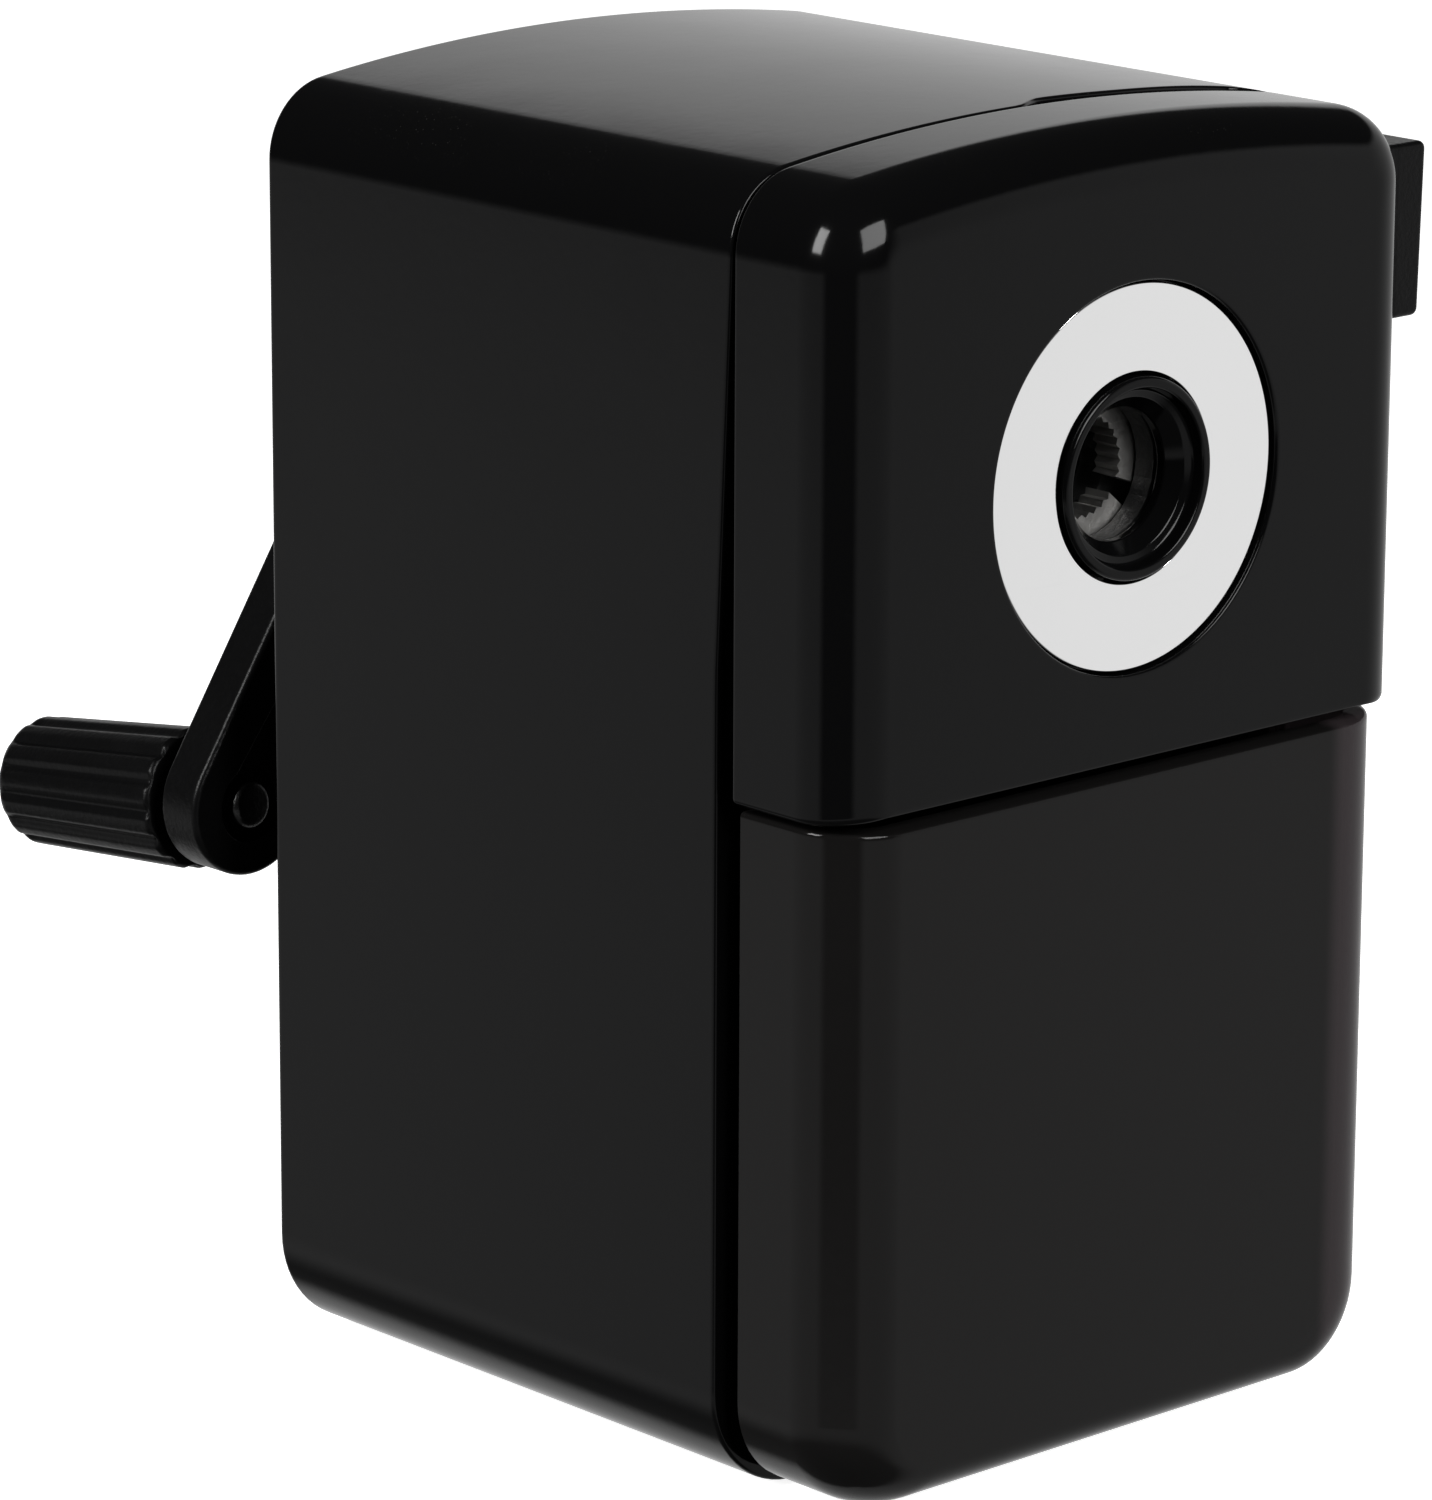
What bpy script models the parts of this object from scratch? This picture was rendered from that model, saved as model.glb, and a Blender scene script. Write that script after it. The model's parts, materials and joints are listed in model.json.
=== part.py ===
"""Crank pencil sharpener with a pull-out feed head, a helical cutter and a shavings drawer.

Metres, +Z up, front towards -Y. The origin is the middle of the flat underside.
"""

import math

import bmesh
import bpy
from mathutils import Matrix, Vector

OBJECT_NAME = "crank_pencil_sharpener"

# Overall case
CASE_WIDTH = 0.0584
CASE_HEIGHT = 0.1000
CASE_DEPTH = 0.0500
CASE_WALL = 0.0020
TOP_CROWN = 0.0025
TOP_RADIUS = 0.0059
LOW_RADIUS = 0.0084
REAR_CHAMFER = 0.0004
FLOOR_WALL = 0.0022
REAR_WALL = 0.0022

# Front step: how far the head stands out, and the recessed joint behind it
HEAD_REACH = 0.0128
JOINT_RECESS = 0.0017
RECESS_LOW = 0.0620
RECESS_HIGH = 0.0920
FINGER_SLOT_FROM = -0.0015
FINGER_SLOT_TO = 0.0256
FINGER_SLOT_DEPTH = 0.0015
FINGER_SLOT_HEIGHT = 0.0026

# Feed head
HEAD_BOTTOM = 0.0530
HEAD_WALL = 0.0020
FRONT_ROUND = 0.0045
HEAD_EDGE = 0.0006
FRONT_BOSS_RADIUS = 0.0170
FRONT_BOSS_WALL = 0.0032
AXIS_HEIGHT = 0.0743

# Mirror ring and entry bezel
RING_RADIUS = 0.0142
RING_THICK = 0.0006
RING_SUNK = 0.0005
RING_GAP = 0.00025
BEZEL_RADIUS = 0.00745
ENTRY_RADIUS = 0.0049

# Clamp: jaws, cam ring, release lever
JAW_COUNT = 3
JAW_BORE = 0.0036
JAW_RADIUS = 0.0084
JAW_HALF_ANGLE = math.radians(50)
JAW_TRAVEL = 0.0014
JAW_THICK = 0.00235
JAW_PIN_AT = 0.0072
JAW_PIN_RADIUS = 0.0008
JAW_TOOTH = 0.0003
TONGUE_LOW = 0.0062
TONGUE_HIGH = 0.0082
TONGUE_HALF = 0.0008
TONGUE_REACH = 0.0016
CAM_BORE = 0.0052
CAM_SLOT_GAP = 0.00035
CAM_RADIUS = 0.0108
CAM_THICK = 0.0018
COLLAR_WALL = 0.0012
CAM_TURN = math.radians(16)
CAM_EAR_AT = 0.0129
CAM_EAR_HALF = 0.0020
EAR_PIN_RADIUS = 0.0009
LEVER_OUT = 0.0056
LEVER_LOW = 0.0068
LEVER_HIGH = 0.0200
LEVER_DEPTH = 0.0052
LEVER_DRAFT = 0.0004
LEVER_TRAVEL = 0.0036
LEVER_EDGE = 0.0005
LEVER_ARM_HALF = 0.0025
LEVER_ARM_END = -0.0060
LEVER_NECK_FROM = 0.0220
LEVER_NECK_LOW = 0.0080
LEVER_SHOULDER = 0.0008
SPRING_STOP_FROM = -0.0180
SPRING_STOP_TO = -0.0160
RAIL_FROM = 0.0040
RAIL_TO = 0.0140
RAIL_THICK = 0.0012
LEVER_SPRING_RADIUS = 0.0010
LEVER_SPRING_WIRE = 0.0002
CHUCK_THICK = 0.0025
PLATE_SCREW_HIGH = (0.0195, 0.0187)
PLATE_SCREW_LOW = (0.0232, -0.0166)
SOCKET_WALL = 0.0010
SOCKET_DEPTH = 0.0038
JAW_SLOT = 0.0003

# Guide rods and return springs
ROD_EDGE = 0.0062
ROD_RADIUS = 0.0020
ROD_REAR_GAP = 0.0053
SPRING_WIRE = 0.0003
SPRING_TURNS = 8
CLIP_RADIUS = 0.0036
CLIP_THICK = 0.0010

# Mechanism frame
FRAME_THICK = 0.0024
FRAME_GUIDE_BORE = 0.0055
POST_RADIUS = 0.0026
POST_EDGE = 0.0080
POST_HIGH = 0.0153
POST_LOW = -0.0177
BARREL_WALL = 0.0014

# Gears and cutter: an internal ring gear drives the planet on the tilted cutter axle
RING_TEETH = 36
PLANET_TEETH = 12
GEAR_MODULE = 0.0008
GEAR_SETBACK = 0.0052
RING_GEAR_WIDTH = 0.0038
PLANET_WIDTH = 0.0030
CUTTER_TILT = math.radians(9.34)
CUTTER_RADIUS = 0.0052
CUTTER_FLUTES = 12
FLUTE_PROFILE = ((0.0, 0.0), (0.0003, 0.20), (0.0010, 0.42))
CUTTER_END_GAP = 0.0013
CUTTER_TWIST = math.radians(70)
AXLE_RADIUS = 0.00125
CARRIER_RADIUS = 0.0126
CARRIER_PLATE = 0.0025
CARRIER_BORE = 0.0046
CARRIER_HUB_GAP = 0.0073
CARRIER_HUB_LENGTH = 0.0072
CUTTER_PARK_ANGLE = math.radians(130)

# Drive shaft, crank and knob
SHAFT_RADIUS = 0.0030
SHAFT_FLAT = 0.0022
BUSH_RADIUS = 0.0050
BUSH_FLANGE = 0.0070
BUSH_FLANGE_THICK = 0.0012
BUSH_FLANGE_EDGE = 0.0004
BUSH_DEPTH = 0.0045
WASHER_RADIUS = 0.0065
HUB_BOSS_GAP = 0.0006
HUB_BOSS_RADIUS = 0.0058
REAR_BOSS_RADIUS = 0.0066
REAR_BOSS_TOP = 0.0060
REAR_BOSS_HEIGHT = 0.0022
HUB_WEB = 0.0027
HUB_FLOOR = 0.0012
CRANK_SCREW_HEAD = 0.0034
CRANK_SCREW_HEIGHT = 0.0016
CRANK_SCREW_RADIUS = 0.0013
HUB_RECESS_RADIUS = 0.0040
CHANNEL_HALF = 0.0026
CHANNEL_DEPTH = 0.0008
CHANNEL_START = 0.0115
SEAT_RADIUS = 0.0030
SEAT_DEPTH = 0.0015
CRANK_GAP = 0.0072
CRANK_LENGTH = 0.0423
CRANK_THICK = 0.0043
CRANK_HUB_RADIUS = 0.0091
CRANK_END_RADIUS = 0.00565
CRANK_PARK_ANGLE = math.radians(37.2)
KNOB_SPLAY = math.radians(7.2)
KNOB_LENGTH = 0.0204
KNOB_RADIUS = 0.0056
KNOB_END_RADIUS = 0.0051
KNOB_FLUTES = 14
FLUTE_DEPTH = 0.00035
RIVET_RADIUS = 0.0013
RIVET_HEAD_RADIUS = 0.00175

# Shavings drawer
DRAWER_INSET = 0.00085
DRAWER_BOTTOM = 0.0006
DRAWER_TOP = 0.0524
DRAWER_LOW_RADIUS = 0.0075
DRAWER_ROUND = 0.0053
DRAWER_WALL = 0.0018
TRAY_REAR_GAP = 0.0043
TRAY_TOP = 0.0500

# Fasteners and fits
SCREW_HEAD_RADIUS = 0.0024
SCREW_HEAD_HEIGHT = 0.0014
SCREW_RADIUS = 0.0012
SMALL_SCREW_HEAD = 0.0020
SMALL_SCREW_HEIGHT = 0.0010
SMALL_SCREW_RADIUS = 0.0010
CLEARANCE = 0.0003
OVERCUT = 0.00005
ROUND_STEPS = 24
LARGE_STEPS = 40

# Planes worked out from the sizes above
case_front = -CASE_DEPTH / 2
case_rear = CASE_DEPTH / 2
head_front = case_front - HEAD_REACH
head_rear = case_front - JOINT_RECESS
case_lip = head_rear + CLEARANCE
half_width = CASE_WIDTH / 2
frame_front = case_front + 0.0001
frame_rear = frame_front + FRAME_THICK
chuck_rear = head_rear - CLEARANCE
chuck_front = chuck_rear - CHUCK_THICK
jaw_rear = chuck_front - CLEARANCE
jaw_front = jaw_rear - JAW_THICK
cam_rear = jaw_front - CLEARANCE
cam_front = cam_rear - CAM_THICK
boss_rear = head_front + FRONT_BOSS_WALL
pocket_floor = head_front + RING_SUNK + RING_THICK + CLEARANCE
gear_y = frame_rear + GEAR_SETBACK
gear_axis_offset = GEAR_MODULE * (RING_TEETH - PLANET_TEETH) / 2
cutter_apex = gear_y + gear_axis_offset / math.tan(CUTTER_TILT)
barrel_radius = GEAR_MODULE * RING_TEETH / 2 + 0.0028
crank_front = case_rear + CRANK_GAP
crank_rear = crank_front + CRANK_THICK
hub_boss_front = case_rear + CLEARANCE + BUSH_FLANGE_THICK + HUB_BOSS_GAP
carrier_hub_rear = case_rear - CARRIER_HUB_GAP
carrier_hub_front = carrier_hub_rear - CARRIER_HUB_LENGTH
cutter_rear = carrier_hub_front - CUTTER_END_GAP
rod_at = half_width - ROD_EDGE
rod_rear = case_rear - ROD_REAR_GAP
tray_rear = case_rear - TRAY_REAR_GAP
post_at = half_width - POST_EDGE
bush_front = case_rear - BUSH_DEPTH
lever_middle = CAM_EAR_AT - 0.0001


def clear_scene():
    for obj in list(bpy.data.objects):
        bpy.data.objects.remove(obj, do_unlink=True)


def new_collection(name):
    group = bpy.data.collections.new(name)
    bpy.context.scene.collection.children.link(group)
    return group


def new_material(name, colour, roughness, metallic=0.0, transmission=0.0):
    made = bpy.data.materials.new(name)
    made.use_nodes = True
    shader = made.node_tree.nodes["Principled BSDF"]
    shader.inputs["Base Color"].default_value = (*colour, 1.0)
    shader.inputs["Roughness"].default_value = roughness
    shader.inputs["Metallic"].default_value = metallic
    shader.inputs["Transmission Weight"].default_value = transmission
    return made


def new_empty(name, location, rotation=(0.0, 0.0, 0.0), parent=None):
    empty = bpy.data.objects.new(name, None)
    empty.empty_display_size = 0.01
    empty.location = location
    empty.rotation_euler = rotation
    empty.parent = parent
    parts.objects.link(empty)
    return empty


def finish(obj, material, parent=None):
    """Puts a shaped object among the parts, with its material, on its moving frame."""
    cutters.objects.unlink(obj)
    parts.objects.link(obj)
    obj.hide_render = False
    obj.display_type = "TEXTURED"
    obj.parent = parent
    for other in list(tools_of.get(obj.name, [])):
        other.parent = parent
    obj.data.materials.append(material)
    obj.data.shade_smooth()
    obj.data.set_sharp_from_angle(angle=math.radians(35))
    return obj


def shape(name, mesh):
    """A new object for a mesh; it stays a hidden tool until finish() makes it a part."""
    obj = bpy.data.objects.new(name, mesh)
    obj.hide_render = True
    obj.display_type = "WIRE"
    cutters.objects.link(obj)
    return obj


def from_bmesh(name, bm):
    bmesh.ops.recalc_face_normals(bm, faces=bm.faces)
    mesh = bpy.data.meshes.new(name)
    bm.to_mesh(mesh)
    bm.free()
    return shape(name, mesh)


def box(name, low, high):
    bm = bmesh.new()
    bmesh.ops.create_cube(bm, size=1.0)
    low, high = Vector(low), Vector(high)
    bmesh.ops.scale(bm, vec=high - low, verts=bm.verts)
    bmesh.ops.translate(bm, vec=(low + high) / 2, verts=bm.verts)
    return from_bmesh(name, bm)


def rod(name, radius, start, end, steps=16, rear_radius=None):
    """A cylinder or cone from one point to another."""
    start, end = Vector(start), Vector(end)
    along = end - start
    bm = bmesh.new()
    far = radius if rear_radius is None else rear_radius
    bmesh.ops.create_cone(
        bm, cap_ends=True, segments=steps, radius1=radius, radius2=far, depth=along.length
    )
    turn = along.to_track_quat("Z", "Y").to_matrix().to_4x4()
    bmesh.ops.transform(bm, matrix=Matrix.Translation((start + end) / 2) @ turn, verts=bm.verts)
    return from_bmesh(name, bm)


def turned(name, profile, closed, steps=ROUND_STEPS):
    """A solid turned about the Y axis. The profile holds (radius, y) points from front to rear."""
    mesh = bpy.data.meshes.new(name)
    points = [(radius, 0.0, -y) for radius, y in profile]
    edges = [(i, i + 1) for i in range(len(points) - 1)]
    if closed:
        edges.append((len(points) - 1, 0))
    mesh.from_pydata(points, edges, [])
    draft = bpy.data.objects.new(name + "_profile", mesh)
    cutters.objects.link(draft)
    screw = draft.modifiers.new("turn", "SCREW")
    screw.steps = steps
    screw.render_steps = steps
    screw.use_merge_vertices = True
    screw.merge_threshold = 0.00001
    bm = baked(draft)
    bmesh.ops.rotate(bm, matrix=Matrix.Rotation(math.pi / 2, 3, "X"), verts=bm.verts)
    return from_bmesh(name, bm)


def baked(draft):
    """The evaluated mesh of a draft object as a bmesh in world space; the draft is removed."""
    bpy.context.view_layer.update()
    graph = bpy.context.evaluated_depsgraph_get()
    mesh = bpy.data.meshes.new_from_object(draft.evaluated_get(graph))
    bm = bmesh.new()
    bm.from_mesh(mesh)
    bmesh.ops.transform(bm, matrix=draft.matrix_world, verts=bm.verts)
    bmesh.ops.remove_doubles(bm, verts=bm.verts, dist=0.000002)
    bpy.data.objects.remove(draft, do_unlink=True)
    bpy.data.meshes.remove(mesh)
    return bm


def plate(name, outline, y_from, y_to):
    """A flat outline of (x, z) points, filled and given its thickness along Y."""
    curve = bpy.data.curves.new(name, "CURVE")
    curve.dimensions = "2D"
    curve.fill_mode = "BOTH"
    curve.extrude = (y_to - y_from) / 2
    spline = curve.splines.new("POLY")
    spline.points.add(len(outline) - 1)
    for point, (x, z) in zip(spline.points, outline):
        point.co = (x, z, 0.0, 1.0)
    spline.use_cyclic_u = True
    draft = bpy.data.objects.new(name + "_outline", curve)
    cutters.objects.link(draft)
    draft.rotation_euler = (math.pi / 2, 0.0, 0.0)
    draft.location = (0.0, (y_from + y_to) / 2, 0.0)
    return from_bmesh(name, baked(draft))


def loft(name, rings):
    """A closed solid skinned over rings of equal point counts, with flat ends."""
    bm = bmesh.new()
    rows = [[bm.verts.new(point) for point in ring] for ring in rings]
    count = len(rings[0])
    for near, far in zip(rows, rows[1:]):
        for i in range(count):
            j = (i + 1) % count
            bm.faces.new((near[i], near[j], far[j], far[i]))
    bm.faces.new(rows[0])
    bm.faces.new(rows[-1])
    return from_bmesh(name, bm)


def spring(name, radius, start, end, turns, wire):
    """A compression spring: a coil along the line from start to end."""
    start, end = Vector(start), Vector(end)
    along = end - start
    turn = along.to_track_quat("Z", "Y")
    steps = 8 * turns
    curve = bpy.data.curves.new(name, "CURVE")
    curve.dimensions = "3D"
    curve.bevel_depth = wire
    curve.bevel_resolution = 1
    curve.use_fill_caps = True
    spline = curve.splines.new("POLY")
    spline.points.add(steps)
    room = along.length - 2 * wire
    for i in range(steps + 1):
        angle = 2 * math.pi * i / 8
        local = Vector((radius * math.cos(angle), radius * math.sin(angle), wire + room * i / steps))
        spline.points[i].co = (*(start + turn @ local), 1.0)
    draft = bpy.data.objects.new(name + "_coil", curve)
    cutters.objects.link(draft)
    return from_bmesh(name, baked(draft))


def combine(target, others, operation):
    for other in others:
        step = target.modifiers.new(other.name, "BOOLEAN")
        step.operation = operation
        step.solver = "EXACT"
        step.object = other
    tools_of.setdefault(target.name, []).extend(others)
    return target


def cut(target, *others):
    return combine(target, others, "DIFFERENCE")


def join(target, *others):
    return combine(target, others, "UNION")


def arc(centre, radius, start, end, steps):
    """Points along an arc in (x, z), angles counted from +x towards +z."""
    return [
        (
            centre[0] + radius * math.cos(start + (end - start) * i / steps),
            centre[1] + radius * math.sin(start + (end - start) * i / steps),
        )
        for i in range(steps + 1)
    ]


def casing_outline(inset, low, low_radius):
    """The crowned casing section drawn in by inset, with its flat lower edge at low."""
    side = half_width - inset
    crown_radius = (half_width**2 + TOP_CROWN**2) / (2 * TOP_CROWN)
    crown_centre = CASE_HEIGHT - crown_radius
    corner_x = half_width - TOP_RADIUS
    corner_z = crown_centre + math.sqrt((crown_radius - TOP_RADIUS) ** 2 - corner_x**2)
    corner = max(TOP_RADIUS - inset, 0.0003)
    crown_angle = math.atan2(corner_z - crown_centre, corner_x)
    quarter = math.pi / 2
    points = arc((side - low_radius, low + low_radius), low_radius, -quarter, 0, 5)
    points += arc((corner_x, corner_z), corner, 0, crown_angle, 5)
    points += arc((0, crown_centre), crown_radius - inset, crown_angle, math.pi - crown_angle, 8)[1:-1]
    points += arc((-corner_x, corner_z), corner, math.pi - crown_angle, math.pi, 5)
    points += arc((-side + low_radius, low + low_radius), low_radius, math.pi, 3 * quarter, 5)
    return points


def tray_outline(side, low, high, low_radius, high_radius=0.0003):
    """A rectangle in (x, z) with rounded lower and upper corners."""
    quarter = math.pi / 2
    points = arc((side - low_radius, low + low_radius), low_radius, -quarter, 0, 6)
    points += arc((side - high_radius, high - high_radius), high_radius, 0, quarter, 2)
    points += arc((-side + high_radius, high - high_radius), high_radius, quarter, 2 * quarter, 2)
    points += arc((-side + low_radius, low + low_radius), low_radius, 2 * quarter, 3 * quarter, 6)
    return points


def ring_at(outline, y, drop=0.0):
    return [(x, y, z - drop) for x, z in outline]


def rounded_front(front, rounding, steps):
    """(y, share) pairs over a quarter-round front edge: share is how much of the inset is left."""
    pairs = []
    for i in range(steps + 1):
        angle = math.pi / 2 * i / steps
        pairs.append((front + rounding * (1 - math.cos(angle)), 1 - math.sin(angle)))
    return pairs


def screw_profile(head_radius, head_height, radius, seat, tip):
    """Pan-head screw whose head lies behind the seat and whose shank runs forward to the tip."""
    return [
        (0.0, tip),
        (radius * 0.6, tip),
        (radius, tip + radius),
        (radius, seat),
        (head_radius, seat),
        (head_radius, seat + head_height * 0.4),
        (head_radius * 0.72, seat + head_height * 0.85),
        (0.0, seat + head_height),
    ]


def cross_recess(name, x, z, size, y_from, y_to):
    """The plus-shaped driver recess of a screw head."""
    arm, half = size, size * 0.24
    steps = [(arm, half), (half, half), (half, arm)]
    outline = []
    for quarter in range(4):
        turn = Matrix.Rotation(quarter * math.pi / 2, 2)
        outline += [tuple(turn @ Vector(step)) for step in steps]
    return plate(name, [(x + a, z + b) for a, b in outline], y_from, y_to)


def gear_outline(teeth, pitch_radius, outward, thin, phase):
    """Toothed outline in (x, z). Outward teeth stand on the rim; for an inner rim they point in."""
    sign = 1 if outward else -1
    tip = pitch_radius + sign * 0.8 * GEAR_MODULE
    root = pitch_radius - sign * 1.35 * GEAR_MODULE
    pitch = 2 * math.pi / teeth
    half_tip = pitch * (0.25 - 0.11) - thin
    half_root = pitch * (0.25 + 0.13) - thin
    outline = []
    for tooth in range(teeth):
        middle = phase + tooth * pitch
        for radius, offset in (
            (root, -half_root),
            (tip, -half_tip),
            (tip, half_tip),
            (root, half_root),
        ):
            outline.append((radius * math.sin(middle + offset), radius * math.cos(middle + offset)))
    return outline


def scaled(outline, factor):
    return [(x * factor, z * factor) for x, z in outline]


def body_shell():
    lip = 0.0005
    outer = [
        ring_at(casing_outline(lip / 2, lip / 2, LOW_RADIUS - lip / 2), case_lip),
        ring_at(casing_outline(0, 0, LOW_RADIUS), case_lip + lip / 2),
        ring_at(casing_outline(0, 0, LOW_RADIUS), case_rear - REAR_CHAMFER),
        ring_at(casing_outline(REAR_CHAMFER, REAR_CHAMFER, LOW_RADIUS - REAR_CHAMFER), case_rear),
    ]
    shell = loft("body_shell", outer)
    inner = casing_outline(CASE_WALL, FLOOR_WALL, LOW_RADIUS - CASE_WALL)
    hollow = loft(
        "shell_hollow", [ring_at(inner, case_lip - 0.002), ring_at(inner, case_rear - REAR_WALL)]
    )
    far = half_width + 0.005
    slope = [
        (case_lip - 0.002, -0.002),
        (case_front, -0.002),
        (case_front, RECESS_LOW),
        (case_lip, RECESS_HIGH),
        (case_lip - 0.002, RECESS_HIGH),
    ]
    recess = loft("side_recess", [[(x, y, z) for y, z in slope] for x in (-far, far)])
    slot_top = CASE_HEIGHT + 0.002
    slot = box(
        "finger_slot",
        (FINGER_SLOT_FROM, case_lip - 0.001, CASE_HEIGHT - FINGER_SLOT_HEIGHT - TOP_CROWN),
        (FINGER_SLOT_TO, case_lip + FINGER_SLOT_DEPTH, slot_top),
    )
    bush_hole = rod(
        "bush_hole",
        BUSH_RADIUS + CLEARANCE,
        (0, case_rear - 2 * REAR_WALL, AXIS_HEIGHT),
        (0, case_rear + 0.002, AXIS_HEIGHT),
        ROUND_STEPS,
    )
    holes = [
        rod(
            f"case_screw_hole_{number}",
            SCREW_RADIUS + CLEARANCE,
            (x, case_rear - 2 * REAR_WALL, AXIS_HEIGHT + z),
            (x, case_rear + 0.002, AXIS_HEIGHT + z),
        )
        for number, (x, z) in enumerate(post_places(), 1)
    ]
    cut(shell, hollow, recess, slot, bush_hole, *holes)
    return finish(shell, black_gloss)


def post_places():
    return [(x, z) for z in (POST_HIGH, POST_LOW) for x in (-post_at, post_at)]


def mechanism_frame():
    """Front plate, barrel for the gear and carrier, and four posts that reach the rear wall."""
    fit = CASE_WALL + CLEARANCE
    low = DRAWER_TOP + CLEARANCE
    outline = casing_outline(fit, low, 0.0010)
    frame = plate("mechanism_frame", outline, frame_front, frame_rear)
    gear_front = gear_y - RING_GEAR_WIDTH / 2 - CLEARANCE
    barrel_rear = gear_y + RING_GEAR_WIDTH / 2 + CLEARANCE
    centre = (0, AXIS_HEIGHT)
    barrel = rod(
        "barrel_outer",
        barrel_radius + CLEARANCE + BARREL_WALL,
        (centre[0], frame_rear - 0.0005, centre[1]),
        (centre[0], barrel_rear, centre[1]),
        LARGE_STEPS,
    )
    posts = [
        rod(
            f"post_{number}",
            POST_RADIUS,
            (x, frame_rear - 0.0005, AXIS_HEIGHT + z),
            (x, case_rear - REAR_WALL - CLEARANCE, AXIS_HEIGHT + z),
            12,
        )
        for number, (x, z) in enumerate(post_places(), 1)
    ]
    join(frame, barrel, *posts)
    bores = [
        (FRAME_GUIDE_BORE, frame_front - 0.001, frame_rear, ROUND_STEPS),
        (CARRIER_RADIUS + CLEARANCE, frame_rear - 0.0002, gear_front + 0.0005, ROUND_STEPS),
        (barrel_radius + CLEARANCE, gear_front, barrel_rear + 0.001, LARGE_STEPS),
    ]
    tools = [
        rod(f"frame_bore_{number}", radius, (0, start, AXIS_HEIGHT), (0, end, AXIS_HEIGHT), steps)
        for number, (radius, start, end, steps) in enumerate(bores, 1)
    ]
    tools += [
        rod(
            f"post_bore_{number}",
            SCREW_RADIUS + CLEARANCE,
            (x, case_rear - 0.014, AXIS_HEIGHT + z),
            (x, case_rear, AXIS_HEIGHT + z),
            12,
        )
        for number, (x, z) in enumerate(post_places(), 1)
    ]
    tools += [
        rod(
            f"rod_bore_{side}",
            ROD_RADIUS + CLEARANCE,
            (x, frame_front - 0.001, AXIS_HEIGHT),
            (x, frame_rear + 0.001, AXIS_HEIGHT),
        )
        for side, x in (("left", -rod_at), ("right", rod_at))
    ]
    cut(frame, *tools)
    return finish(frame, black_matte)


def frame_screws():
    seat = case_rear + CLEARANCE
    made = []
    for number, (x, z) in enumerate(post_places(), 1):
        tip = case_rear - 0.0125
        profile = screw_profile(SCREW_HEAD_RADIUS, SCREW_HEAD_HEIGHT, SCREW_RADIUS, seat, tip)
        screw = turned(f"frame_screw_{number}", profile, False, 12)
        top = seat + SCREW_HEAD_HEIGHT
        recess = cross_recess(f"frame_recess_{number}", 0, 0, 0.0013, top - 0.0008, top + 0.001)
        place = (x, 0, AXIS_HEIGHT + z)
        screw.location = place
        recess.location = place
        made.append(finish(cut(screw, recess), steel))
    return made


def ring_gear():
    """Fixed internal gear. Its cone meets the cutter's tilted axle at the apex."""
    front = gear_y - RING_GEAR_WIDTH / 2
    rear = gear_y + RING_GEAR_WIDTH / 2
    gear = rod(
        "ring_gear", barrel_radius, (0, front, AXIS_HEIGHT), (0, rear, AXIS_HEIGHT), LARGE_STEPS
    )
    pitch_radius = GEAR_MODULE * RING_TEETH / 2
    pitch = 2 * math.pi / RING_TEETH
    teeth = gear_outline(RING_TEETH, pitch_radius, False, 0.0, pitch / 2)
    reach = cutter_apex - gear_y
    rings = []
    for y in (front - 0.0005, rear + 0.0005):
        outline = scaled(teeth, (cutter_apex - y) / reach)
        rings.append(ring_at(outline, y, -AXIS_HEIGHT))
    cut(gear, loft("ring_gear_teeth", rings))
    return finish(gear, grey_plastic)


def rear_bearing():
    flange_front = case_rear + CLEARANCE
    flange_rear = flange_front + BUSH_FLANGE_THICK
    profile = [
        (BUSH_RADIUS, bush_front),
        (BUSH_RADIUS, flange_front),
        (BUSH_FLANGE, flange_front),
        (BUSH_FLANGE, flange_rear - BUSH_FLANGE_EDGE),
        (BUSH_FLANGE - BUSH_FLANGE_EDGE, flange_rear),
        (SHAFT_RADIUS + CLEARANCE, flange_rear),
        (SHAFT_RADIUS + CLEARANCE, bush_front),
    ]
    bearing = turned("rear_bearing", profile, True)
    bearing.location = (0, 0, AXIS_HEIGHT)
    return finish(bearing, grey_plastic)


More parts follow.
